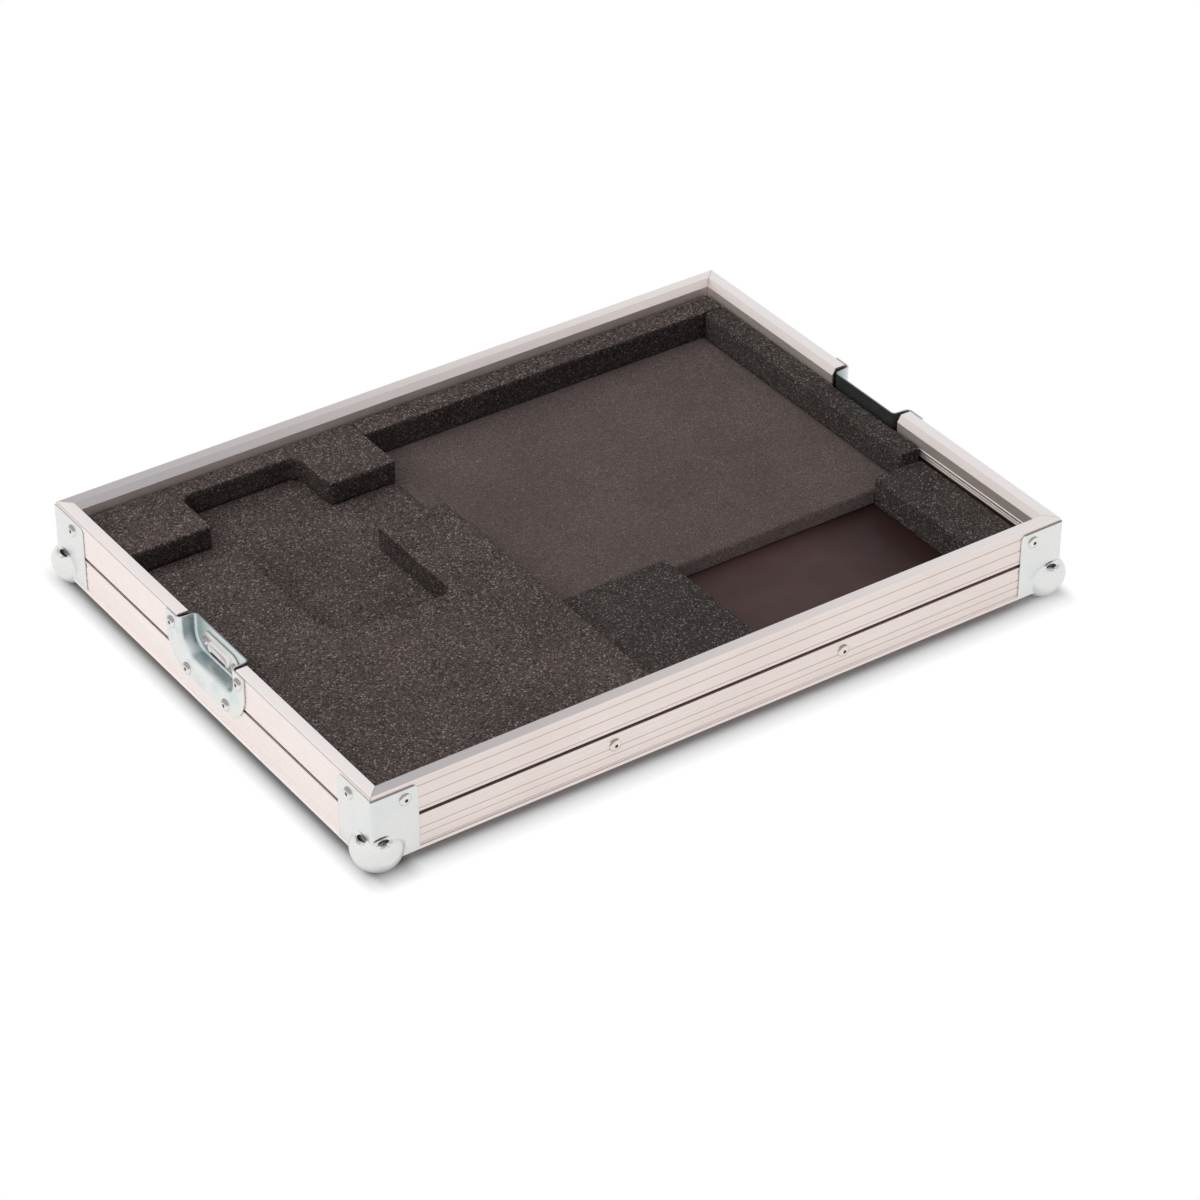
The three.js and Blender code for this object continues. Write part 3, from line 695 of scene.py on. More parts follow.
    def build(self, along: Along, case: "Case", levels: Sequence[float]) -> bpy.types.Material:
        """Builds the material for profiles drawn in one direction.

        Args:
            along: The direction of the die's lines.
            case: The case, for its outer faces.
            levels: Heights of the painted shade lines in the grooves.

        Returns:
            The material.
        """
        material, sheet = new_finish(f"drawn_aluminium_{along.value}")
        dense, slack = self.line_density, self.line_stretch
        stretch = (slack, dense, dense) if along is Along.X else (dense, slack, dense)
        lines = sheet.noise(sheet.place(stretch), 1.0, 3.0)
        cloud = sheet.noise(sheet.place(), self.cloud_size, 4.0)
        tone = sheet.paint(self.base, self.shade, sheet.spread(lines, 0.42, 0.72, 0.0, self.line_share))
        tone = sheet.paint(tone, self.shade, sheet.spread(cloud, 0.45, 0.75, 0.0, self.cloud_share))
        tone = self.paint_groove_shade(sheet, tone, along, case, levels)
        # Painted light, shade and reflections, different for the long and the short runs.
        painted_light = self.paint_long_reflections if along is Along.X else self.paint_short_light
        tone = painted_light(sheet, tone, case)
        # Painted shade on the faces that turn downwards.
        below = sheet.spread(sheet.facing(2), -0.5, -0.3, self.under_painted_shade, 0.0)
        sheet.surface({
            "Base Color": sheet.paint(tone, self.painted_shade, below),
            "Metallic": self.metallic,
            "Roughness": sheet.spread(cloud, 0.3, 0.7, self.roughness - 0.05, self.roughness + 0.07),
            "Normal": sheet.bump(lines, 0.12, self.line_relief),
        })
        return material


@dataclass(frozen=True)
class ZincPlate:
    """Pressed steel with bright zinc that turns slightly blue and yellow."""

    name: str = "zinc_plate"
    base: Colour = (0.80, 0.81, 0.795)
    cool: Colour = (0.70, 0.78, 0.80)
    warm: Colour = (0.84, 0.81, 0.74)
    metallic: float = 0.88
    roughness: float = 0.21
    tint_size: float = 45.0
    tint: float = 0.30
    grain_size: float = 2500.0
    grain_relief: float = 0.05 * MM

    def shadows(self, sheet: NodeSheet, tone: Socket) -> Socket:
        """Leaves the tone as it is, for finishes with darker places to change."""
        return tone

    def build(self) -> bpy.types.Material:
        """Builds the material.

        Returns:
            The material.
        """
        material, sheet = new_finish(self.name)
        where = sheet.place()
        cloud = sheet.noise(where, self.tint_size, 3.0)
        other = sheet.noise(where, self.tint_size * 0.6, 2.0)
        grain = sheet.noise(where, self.grain_size, 1.0)
        tone = sheet.paint(self.base, self.cool, sheet.spread(cloud, 0.48, 0.68, 0.0, self.tint))
        tone = sheet.paint(tone, self.warm, sheet.spread(other, 0.52, 0.72, 0.0, self.tint))
        sheet.surface({
            "Base Color": self.shadows(sheet, tone),
            "Metallic": self.metallic,
            "Roughness": sheet.spread(cloud, 0.3, 0.7, self.roughness - 0.04, self.roughness + 0.08),
            "Normal": sheet.bump(grain, 0.02, self.grain_relief),
        })
        return material


@dataclass(frozen=True)
class CornerZinc(ZincPlate):
    """Zinc of the ball corners, with painted shade where the ball runs into the legs and a painted
    shadow line along the long legs' upper edge.
    """

    name: str = "corner_zinc"
    roughness: float = 0.27
    corner: Point = (0.0, 0.0, 0.0)
    dents: Sequence[tuple[Point, Point]] = ()
    # Colour of the painted shade in the dents.
    dent_shade: Colour = (0.11, 0.11, 0.105)
    mottle_size: float = 400.0
    # Colour of the painted shadow line along the long legs' upper edge.
    edge: Colour = (0.20, 0.21, 0.20)
    edge_level: float = 0.0
    edge_share: float = 0.9
    edge_drop: tuple[float, float] = (0.7 * MM, 0.3 * MM)
    edge_reach: float = 0.4 * MM

    def shadows(self, sheet: NodeSheet, tone: Socket) -> Socket:
        """Paints shade into the dents, at the same place in all four corners, and a shadow line along
        the long legs' upper edge.

        Args:
            sheet: The material's node sheet.
            tone: The zinc's tone.

        Returns:
            The darkened tone.
        """
        where = sheet.place()
        mottle = sheet.spread(sheet.noise(where, self.mottle_size, 2.0), 0.42, 0.55, 0.05, 1.0)
        place = sheet.vector("SUBTRACT", sheet.vector("ABSOLUTE", where), self.corner)
        # Painted shade in the dents, mottled.
        for centre, radii in self.dents:
            tone = sheet.paint(tone, self.dent_shade, sheet.near(place, centre, radii), mottle)
        # Painted shadow line along the long legs' upper edge.
        beyond, level = sheet.axes(place)[1], sheet.axes(place)[2]
        start, full = (self.edge_level - drop for drop in self.edge_drop)
        upper = sheet.spread(level, start, full, 0.0, self.edge_share)
        return sheet.paint(tone, self.edge, upper, sheet.spread(beyond, 0.0, self.edge_reach))


@dataclass(frozen=True)
class DishZinc(ZincPlate):
    """Zinc of the latch dishes, with painted shade in the recess and darker painted shade on its sides
    and on the face that looks into the case.
    """

    name: str = "dish_zinc"
    cool: Colour = (0.50, 0.66, 0.70)
    tint_size: float = 60.0
    tint: float = 0.5
    roughness: float = 0.25
    wall_at: float = 0.0
    # Colours of the painted shade: in the recess, on its sides and on the face that looks into the case.
    recess: Colour = (0.62, 0.69, 0.69)
    recess_depth: float = 4 * MM
    recess_share: float = 0.8
    sides: Colour = (0.24, 0.30, 0.33)
    sides_depth: tuple[float, float] = (12 * MM, 2 * MM)
    sides_share: float = 0.9
    into_case_shade: Colour = (0.19, 0.205, 0.215)
    behind_depth: tuple[float, float] = (3 * MM, 1 * MM)

    def shadows(self, sheet: NodeSheet, tone: Socket) -> Socket:
        """Paints shade into the recess, and darker shade onto its sides and onto the face that looks
        into the case.

        Args:
            sheet: The material's node sheet.
            tone: The zinc's tone.

        Returns:
            The darkened tone.
        """
        across, facing = sheet.axes(sheet.place())[0], sheet.facing(0)
        away, wall = sheet.calc("ABSOLUTE", across), self.wall_at
        # Painted shade in the recess.
        recess = sheet.spread(away, wall - self.recess_depth, wall, self.recess_share, 0.0)
        tone = sheet.paint(tone, self.recess, recess)
        # Darker painted shade on the recess's sides.
        sideways = sheet.spread(sheet.calc("ABSOLUTE", facing), 0.2, 0.75, 1.0, 0.0)
        deep, shallow = (wall - depth for depth in self.sides_depth)
        sides = sheet.spread(away, deep, shallow, self.sides_share, 0.0)
        tone = sheet.paint(tone, self.sides, sideways, sides)
        # Darker painted shade on the face that looks into the case.
        deep, shallow = (wall - depth for depth in self.behind_depth)
        inwards = sheet.spread(sheet.calc("MULTIPLY", across, facing), -0.12, -0.04, 1.0, 0.0)
        return sheet.paint(tone, self.into_case_shade, sheet.spread(away, deep, shallow, 1.0, 0.0), inwards)


@dataclass(frozen=True)
class RivetMetal(ZincPlate):
    """Metal of a rivet's head, with painted shade in its hole and on the side that turns upwards."""

    tint_size: float = 120.0
    up: Point = (-0.35, 0.0, 0.94)
    # Colour of the painted shade in the hole and on the dome's upper side.
    dark: Colour = (0.16, 0.13, 0.12)
    dome_share: float = 0.7
    hole_share: float = 0.85

    def shadows(self, sheet: NodeSheet, tone: Socket) -> Socket:
        """Paints shade into the hole and onto the upper side of the dome.

        Args:
            sheet: The material's node sheet.
            tone: The metal's tone.

        Returns:
            The darkened tone.
        """
        normal = sheet.add("NewGeometry", {}).outputs["Normal"]
        turned = sheet.vector("DOT_PRODUCT", normal, self.up, result="Value")
        # Painted shade on the side of the dome that turns upwards.
        tone = sheet.paint(tone, self.dark, sheet.spread(turned, 0.42, 0.60, 0.0, self.dome_share))
        # Painted shade in the hole.
        hole = sheet.add("Attribute", {}, attribute_name=HOLE).outputs["Fac"]
        return sheet.paint(tone, self.dark, hole, self.hole_share)


@dataclass(frozen=True)
class CutFoam:
    """Cut polyethylene foam: dark cells with lighter cell walls that glint here and there, with painted
    light and shade on the faces that don't face up.
    """

    name: str
    pore: Colour
    wall: Colour
    glint: Colour
    cell_size: float
    glint_share: float
    relief: float
    # Factor of the painted light on faces that don't face up: below 1 it paints shade, above 1 light.
    side_painted_light: float = 1.0
    cell_share: float = 0.75
    cloud_size: float = 18.0
    cloud_share: float = 0.25
    glint_strength: float = 0.8
    roughness: float = 0.95
    specular: float = 0.15

    def build(self) -> bpy.types.Material:
        """Builds the material.

        Returns:
            The material.
        """
        material, sheet = new_finish(self.name)
        where = sheet.place()
        cells = sheet.add("TexVoronoi", {"Vector": where, "Scale": 1.0 / self.cell_size})
        grit = sheet.noise(where, 0.8 / self.cell_size, 2.0)
        cloud = sheet.noise(where, self.cloud_size, 3.0)
        picked = sheet.add("SeparateColor", {"Color": cells.outputs["Color"]}).outputs["Red"]
        tone = sheet.paint(self.pore, self.wall, sheet.spread(grit, 0.36, 0.64))
        tone = sheet.paint(tone, sheet.paint(self.pore, self.wall, picked), self.cell_share)
        tone = sheet.paint(tone, self.pore, sheet.spread(cloud, 0.35, 0.65, 0.0, self.cloud_share))
        start, full = 1.0 - self.glint_share, 1.0 - self.glint_share + 0.6 * self.glint_share
        tone = sheet.paint(tone, self.glint, sheet.spread(picked, start, full, 0.0, self.glint_strength))
        # Painted light and shade: faces that don't face up are scaled by a factor.
        side_light = sheet.spread(sheet.facing(2, "True Normal"), 0.3, 0.7, self.side_painted_light, 1.0)
        tone = sheet.add("VectorMath", {0: tone, "Scale": side_light}, operation="SCALE").outputs["Vector"]
        sheet.surface({
            "Base Color": tone,
            "Roughness": self.roughness,
            "Specular IOR Level": self.specular,
            "Normal": sheet.bump(cells.outputs["Distance"], 0.7, self.relief),
        })
        return material


@dataclass(frozen=True)
class FilmedPlywood:
    """Plywood with a dark film on its faces and its plies at the cut edges, and an optional painted
    shadow on the film towards +X.
    """

    name: str
    film: Colour
    gloss: float
    thickness_axis: int
    # Where and how the painted shadow on the film falls, when it is wanted.
    painted_shadow_from: float | None = None
    painted_shadow_reach: float = 60 * MM
    painted_shadow_share: float = 0.75
    painted_shadow: Colour = (0.016, 0.006, 0.006)
    ply: Colour = (0.16, 0.10, 0.07)
    glue: Colour = (0.035, 0.022, 0.02)
    cloud_size: float = 30.0
    tooth_size: float = 900.0
    tooth_relief: float = 0.05 * MM
    ply_density: float = 1300.0
    grain_stretch: Point = (300.0, 300.0, 900.0)
    specular: float = 0.12

    def build(self) -> bpy.types.Material:
        """Builds the material.

        Returns:
            The material.
        """
        material, sheet = new_finish(self.name)
        where, axis = sheet.place(), self.thickness_axis
        cloud = sheet.noise(where, self.cloud_size, 4.0)
        tooth = sheet.noise(where, self.tooth_size, 2.0)
        depth = sheet.calc("MULTIPLY", sheet.axes(where)[axis], self.ply_density)
        plies = sheet.calc("PINGPONG", depth, 2.0)
        grain = sheet.noise(sheet.place(self.grain_stretch), 1.0, 3.0)
        edge = sheet.paint(self.ply, self.glue, sheet.spread(plies, 0.8, 1.2))
        edge = sheet.paint(edge, self.glue, sheet.spread(grain, 0.4, 0.7, 0.0, 0.6))
        film = sheet.paint(self.film, self.glue, sheet.spread(cloud, 0.4, 0.7, 0.0, 0.35))
        # Painted shadow: the film darkens over a reach towards +X from a given place.
        if self.painted_shadow_from is not None:
            end = self.painted_shadow_from + self.painted_shadow_reach
            painted_shadow = sheet.spread(sheet.axes(where)[0], self.painted_shadow_from, end, 0.0, self.painted_shadow_share)
            film = sheet.paint(film, self.painted_shadow, painted_shadow)
        facing = sheet.calc("ABSOLUTE", sheet.facing(axis, "True Normal"))
        sheet.surface({
            "Base Color": sheet.paint(edge, film, sheet.spread(facing, 0.5, 0.6)),
            "Roughness": sheet.spread(cloud, 0.35, 0.7, self.gloss, self.gloss + 0.12),
            "Specular IOR Level": self.specular,
            "Normal": sheet.bump(tooth, 0.15, self.tooth_relief),
        })
        return material


@dataclass(frozen=True)
class Case:
    """Sizes of the case that its sub-assemblies share."""

    length: float = 600 * MM
    width: float = 440 * MM
    base: float = 10.3 * MM
    rim_leg: float = 27.5 * MM
    gap: float = 3 * MM
    angle_leg: float = 27.5 * MM
    sheet: float = 1.2 * MM
    sheet_face: float = 1.4 * MM

    @property
    def top(self) -> float:
        """Height of the rim's top."""
        return self.base + self.angle_leg + self.gap + self.rim_leg

    def to_wall(self, wall: Wall) -> Matrix:
        """Gives the move from the wall directions to a wall.

        Args:
            wall: Which wall.

        Returns:
            The move of the mesh.
        """
        half = self.width / 2 if wall in (Wall.FRONT, Wall.BACK) else self.length / 2
        turn = Matrix.Rotation(wall.value * math.pi / 2, 4, "Z")
        return turn @ Matrix.Translation((0.0, -half, 0.0))


@dataclass
class Profiles:
    """The upper rim profile and the lower angle, drawn aluminium with mitred corners."""

    case: Case
    wall: float = 1.5 * MM
    rim_width: float = 10 * MM
    inner_leg: float = 21.5 * MM
    lip_reach: float = 3.5 * MM
    lip_drop: float = 6 * MM
    foot: float = 30 * MM
    outer_round: float = 1.8 * MM
    inner_round: float = 0.6 * MM
    round_steps: int = 5
    groove_depth: float = 0.45 * MM
    groove_half: float = 0.6 * MM
    rim_groove_shares: tuple[float, ...] = (0.22, 0.57, 0.91)
    angle_groove_shares: tuple[float, ...] = (0.42, 0.64, 0.89)
    band_drop: float = 2 * MM
    band_height: float = 4 * MM
    band_depth: float = 0.25 * MM
    reed_depth: float = 0.35 * MM
    reed_half: float = 0.5 * MM
    reed_pitch: float = 2 * MM
    reed_rise: float = 1.6 * MM
    reed_count: int = 2
    bead: float = 0.5 * MM
    bead_drop: float = 14.5 * MM
    bead_height: float = 1.4 * MM
    mitre_gap: float = 0.3 * MM
    edge_round: float = 0.15 * MM
    cut_half: float = 41.3 * MM
    notch_drop: float = 33 * MM
    slot: str = "profile_aluminium"

    def outer_leg_moves(self, height: float, start: float, shares: Sequence[float]) -> list[Vector]:
        """Lists the moves down an outer leg, with its grooves.

        Args:
            height: The leg's full height.
            start: How far down the leg the moves begin.
            shares: Where the grooves lie, as shares of the height.

        Returns:
            The moves.
        """
        moves = []
        level = start
        for share in shares:
            top = share * height - self.groove_half
            moves.append(Vector((0.0, 0.0, level - top)))
            moves.append(Vector((0.0, self.groove_depth, -self.groove_half)))
            moves.append(Vector((0.0, -self.groove_depth, -self.groove_half)))
            level = top + 2 * self.groove_half
        moves.append(Vector((0.0, 0.0, level - height)))
        return moves

    def corner_moves(self, radius: float, outwards: float) -> list[Vector]:
        """Lists the moves from level to straight down, round a corner.

        Args:
            radius: The corner's radius.
            outwards: -1 towards the outer face and 1 towards the inside.

        Returns:
            The moves.
        """
        turns = [step / self.round_steps * math.pi / 2 for step in range(self.round_steps + 1)]
        points = [Vector((0.0, outwards * radius * math.sin(t), radius * math.cos(t))) for t in turns]
        return [after - before for before, after in zip(points, points[1:])]

    def inner_leg_moves(self) -> list[Vector]:
        """Lists the moves down the slanted lip and the inner leg, with its bead and its fine reeds.

        Returns:
            The moves.
        """
        lip = Vector((0.0, self.lip_reach, -self.lip_drop))
        slope, arrive = lip.normalized(), Vector((0.0, 0.0, -1.0))
        bend = self.inner_round
        moves = [lip - slope * bend, slope * bend * 0.5 + arrive * bend * 0.5]
        level = self.lip_drop + bend * 0.5
        moves.append(Vector((0.0, 0.0, level - self.bead_drop)))
        moves.append(Vector((0.0, self.bead, -self.bead)))
        moves.append(Vector((0.0, 0.0, 2 * self.bead - self.bead_height)))
        moves.append(Vector((0.0, -self.bead, -self.bead)))
        level = self.bead_drop + self.bead_height
        for reed in range(self.reed_count - 1, -1, -1):
            top = self.inner_leg - self.reed_rise - reed * self.reed_pitch - self.reed_half
            moves.append(Vector((0.0, 0.0, level - top)))
            moves.append(Vector((0.0, -self.reed_depth, -self.reed_half)))
            moves.append(Vector((0.0, self.reed_depth, -self.reed_half)))
            level = top + 2 * self.reed_half
        moves.append(Vector((0.0, 0.0, level - self.inner_leg)))
        return moves

    def rim_run(self, name: str, start: float, end: float) -> Workpiece:
        """Draws a length of the rim profile in wall directions, its ends square.

        Args:
            name: The piece's name.
            start: Where it starts along the wall.
            end: Where it ends.

        Returns:
            The piece.
        """
        web_start, web_end = self.outer_round, self.rim_width
        centre = ((start + end) / 2, (web_start + web_end) / 2, self.case.top)
        piece = Workpiece.plane(name, centre, (end - start, web_end - web_start), False)
        piece.edit()
        piece.pick("edges", lambda edge: abs(middle(edge).y - web_start) < EXACT)
        piece.extrude_path(self.corner_moves(self.outer_round, -1.0))
        leg = self.outer_leg_moves(self.case.rim_leg, self.outer_round, self.rim_groove_shares)
        piece.extrude_path(leg)
        piece.pick("edges", lambda edge: abs(middle(edge).y - web_end) < EXACT)
        piece.extrude_path(self.inner_leg_moves())
        piece.done()
        piece.face_outwards((0.0, 0.0, 1.0))
        return piece.modify("SOLIDIFY", thickness=self.wall, offset=-1.0, use_even_offset=True)

    def angle_run(self, name: str, length: float) -> Workpiece:
        """Draws a length of the lower angle in wall directions, its ends square.

        Args:
            name: The piece's name.
            length: Its length.

        Returns:
            The piece.
        """
        top = self.case.base + self.case.angle_leg
        height = self.band_drop
        centre = (0.0, 0.0, top - height / 2)
        piece = Workpiece.plane(name, centre, (length, height), True)
        piece.edit()
        piece.pick("edges", lambda edge: abs(middle(edge).z - (top - height)) < EXACT)
        depth = self.band_depth
        piece.extrude_path([
            Vector((0.0, depth, -depth)),
            Vector((0.0, 0.0, depth - self.band_height)),
            Vector((0.0, -depth, -depth)),
        ])
        start = self.band_drop + self.band_height + depth
        leg = self.case.angle_leg - self.outer_round
        shares = [share * self.case.angle_leg / leg for share in self.angle_groove_shares]
        piece.extrude_path(self.outer_leg_moves(leg, start, shares))
        # The bend stands out from the face by its radius, and the foot runs inwards from there.
        bend = reversed(self.corner_moves(self.outer_round, -1.0))
        piece.extrude_path([Vector((0.0, move.z, move.y)) for move in bend])
        piece.extrude_path([Vector((0.0, self.foot - self.outer_round, 0.0))])
        piece.done()
        piece.face_outwards((0.0, -1.0, -1.0))
        return piece.modify("SOLIDIFY", thickness=self.wall, offset=-1.0, use_even_offset=True)

    def mitre(self, piece: Workpiece, half: float, end: int) -> Workpiece:
        """Cuts one end of a run at 45 degrees.

        Args:
            piece: The run, in wall directions.
            half: Half of the wall's length.
            end: -1 for the start of the wall and 1 for its end.

        Returns:
            The piece.
        """
        corner = (end * (half - self.mitre_gap / 2), 0.0, 0.0)
        return piece.slice(corner, (-end, -1.0, 0.0))

    def soften(self, piece: Workpiece) -> Workpiece:
        """Rounds the sharp edges of a run slightly and shades it, and returns it."""
        return piece.round_edges(self.edge_round).polish(25)

    def mitre_both(self, piece: Workpiece, half: float) -> Workpiece:
        """Mitres both ends of a run and returns it."""
        return self.mitre(self.mitre(piece, half, -1), half, 1)

    def long_runs(self, finish: bpy.types.Material) -> None:
        """Builds and places the rims and angles of the front and back walls.

        Args:
            finish: Their material.
        """
        half = self.case.length / 2
        rim = self.soften(self.mitre_both(self.rim_run("rim_long", -half, half), half))
        angle = self.soften(self.mitre_both(self.angle_run("angle_long", self.case.length), half))
        for wall in (Wall.FRONT, Wall.BACK):
            side, move = wall.name.lower(), self.case.to_wall(wall)
            rim.copy(f"{side}_rim_profile", move).finish(finish, self.slot, f"rim_{side}")
            angle.copy(f"{side}_lower_angle", move).finish(finish, self.slot, f"base_angle_{side}")
        rim.scrap()
        angle.scrap()

    def short_runs(self, finish: bpy.types.Material) -> None:
        """Builds and places the rims and angles of the left and right walls, cut for the dishes.

        Args:
            finish: Their material.
        """
        case, half = self.case, self.case.width / 2
        first = self.mitre(self.rim_run("rim_first", -half, -self.cut_half), half, -1)
        last = self.mitre(self.rim_run("rim_last", self.cut_half, half), half, 1)
        angle = self.mitre_both(self.angle_run("angle_short", case.width), half)
        angle.carve(Workpiece.cube(
            "notch",
            (-self.cut_half, -self.wall, case.top - self.notch_drop),
            (self.cut_half, 2 * self.wall, case.top),
        ))
        patterns = [self.soften(piece) for piece in (first, last, angle)]
        for wall, ends in ((Wall.LEFT, ("back", "front")), (Wall.RIGHT, ("front", "back"))):
            side, move = wall.name.lower(), case.to_wall(wall)
            for run, end in zip((first, last), ends):
                name = f"{side}_{end}_rim_profile"
                run.copy(name, move).finish(finish, self.slot, f"rim_{side}_{end}")
            angle.copy(f"{side}_lower_angle", move).finish(finish, self.slot, f"base_angle_{side}")
        for pattern in patterns:
            pattern.scrap()

    def build(self) -> None:
        """Builds and places all rims and angles."""
        case = self.case
        angle_top = case.base + case.angle_leg
        levels = [case.top - share * case.rim_leg for share in self.rim_groove_shares]
        levels += [angle_top - share * case.angle_leg for share in self.angle_groove_shares]
        self.long_runs(DrawnAluminium().build(Along.X, case, levels))
        self.short_runs(DrawnAluminium().build(Along.Y, case, levels))


@dataclass
class BallCorners:
    """The four pressed steel corners: two upright legs, a foot and a hollow ball."""

    case: Case
    leg_long: float = 37.5 * MM
    leg_short: float = 41.5 * MM
    top_drop: float = 3 * MM
    clip: float = 3.5 * MM
    foot_clip: float = 9 * MM
    radius: float = 19.3 * MM
    inset: float = 9 * MM
    clearance: float = 0.2 * MM
    bend: float = 2 * MM
    blank: float = 3 * MM
    grain: float = 0.5 * MM
    upper_share: float = 0.68
    pit_depth: float = 1.3 * MM
    long_pit_at: tuple[float, float] = (6.5 * MM, 20.4 * MM)
    long_pit: Point = (8.5, 2.3, 2.8)
    short_pit_at: tuple[float, float] = (12.0 * MM, 20.0 * MM)
    short_pit: Point = (2.3, 8.5, 2.8)
    foot_pit_depth: float = 0.1 * MM
    foot_pit_at: tuple[float, float] = (15.0 * MM, 19.0 * MM)
    foot_pit: Point = (4.0, 4.0, 1.0)
    dent_level: float = 20.3 * MM
    long_dent_at: tuple[float, float] = (-7.0 * MM, 5.5 * MM)
    long_dent: Point = (9.5 * MM, 4.4 * MM, 3.8 * MM)
    short_dent_at: tuple[float, float] = (5.5 * MM, -11.0 * MM)
    short_dent: Point = (4.4 * MM, 10.0 * MM, 3.8 * MM)
    kept_share: float = 0.3

    def leg(self, name: str, reach: Sequence[float], clip_at: Sequence[float], clip: float) -> Workpiece:
        """Makes one plate of the corner with its free corner clipped.

        Args:
            name: The piece's name.
            reach: The plate's highest corner.
            clip_at: A point on the edge that is clipped.
            clip: How much is clipped.

        Returns:
            The plate, thicker than its sheet.
        """
        low = Vector((-self.case.sheet_face,) * 3)
        piece = Workpiece.cube(name, low, reach)
        at = Vector(clip_at)
        outer = low.x + EXACT
        piece.edit()
        piece.pick("edges", lambda edge: sum(
            all(vertex.co[axis] < outer for vertex in edge.verts) for axis in range(3)
        ) == 2)
        bpy.ops.mesh.bevel(offset=self.bend, segments=4, profile=0.5)
        piece.pick("edges", lambda edge: (middle(edge) - at).length < 0.1 * MM)
        bpy.ops.mesh.bevel(offset=clip, segments=3, profile=0.35)
        return piece.done()

    def flattened_ball(self, name: str, radius: float) -> Workpiece:
        """Makes the ball with its upper half pressed flatter, where it runs out into the legs.

        Args:
            name: The piece's name.
            radius: Its radius.

        Returns:
            The ball.
        """
        centre = (self.inset,) * 3
        ball = Workpiece.ball(name, centre, radius)
        ball.edit("VERT")
        ball.pick("verts", lambda vertex: vertex.co.z > self.inset + EXACT)
        bpy.ops.transform.resize(value=(1.0, 1.0, self.upper_share), center_override=centre)
        return ball.done()

    def pressing(self) -> Workpiece:
        """Presses one corner in its own directions: legs along +X and +Y from the case's corner.

        Returns:
            The corner, with its underside level at Z = 0.
        """
        face, blank = -self.case.sheet_face, self.blank
        top = self.case.top - self.case.base - self.top_drop
        long, short = self.leg_long, self.leg_short
        corner = self.leg("corner", (long, blank, top), (long, (face + blank) / 2, top), self.clip)
        side = self.leg("side", (blank, short, top), ((face + blank) / 2, short, top), self.clip)
        foot = self.leg("foot", (long, short, blank), (long, short, (face + blank) / 2), self.foot_clip)
        corner.join(side, foot, self.flattened_ball("ball", self.radius))
        corner.modify("REMESH", mode="VOXEL", voxel_size=self.grain, use_smooth_shade=True)
        sunk = face - self.pit_depth
        pits = (
            ((self.long_pit_at[0], sunk, self.long_pit_at[1]), self.long_pit),
            ((sunk, *self.short_pit_at), self.short_pit),
            ((*self.foot_pit_at, face - self.foot_pit_depth), self.foot_pit),
        )
        for place, stretch in pits:
            corner.carve(Workpiece.ball("pit", place, 1.0 * MM, stretch))
        corner.modify("SMOOTH", factor=0.5, iterations=5)
        far = top + self.radius
        inside = Workpiece.cube("inside", (-self.clearance,) * 3, (far,) * 3)
        inside.carve(self.flattened_ball("bore", self.radius - self.case.sheet), "UNION")
        corner.carve(inside)
        corner.modify("DECIMATE", ratio=self.kept_share)
        return corner.polish(40)

    def build(self) -> None:
        """Builds and places the four corners."""
        pressing = self.pressing()
        half_length, half_width = self.case.length / 2, self.case.width / 2
        # Places and sizes of the painted shade in the dents.
        dents = (
            ((*self.long_dent_at, self.dent_level), self.long_dent),
            ((*self.short_dent_at, self.dent_level), self.short_dent),
        )
        finish = CornerZinc(
            corner=(half_length, half_width, self.case.base),
            dents=dents,
            edge_level=self.case.top - self.case.base - self.top_drop,
        ).build()
        for side, x in (("left", -1), ("right", 1)):
            for end, y in (("front", -1), ("back", 1)):
                place = Matrix.Translation((x * half_length, y * half_width, self.case.base))
                mirror = Matrix.Diagonal((-x, -y, 1.0, 1.0))
                pressing.copy(f"{end}_{side}_ball_corner", place @ mirror).finish(
                    finish, "corner_steel", f"ball_corner_{end}_{side}"
                )
        pressing.scrap()


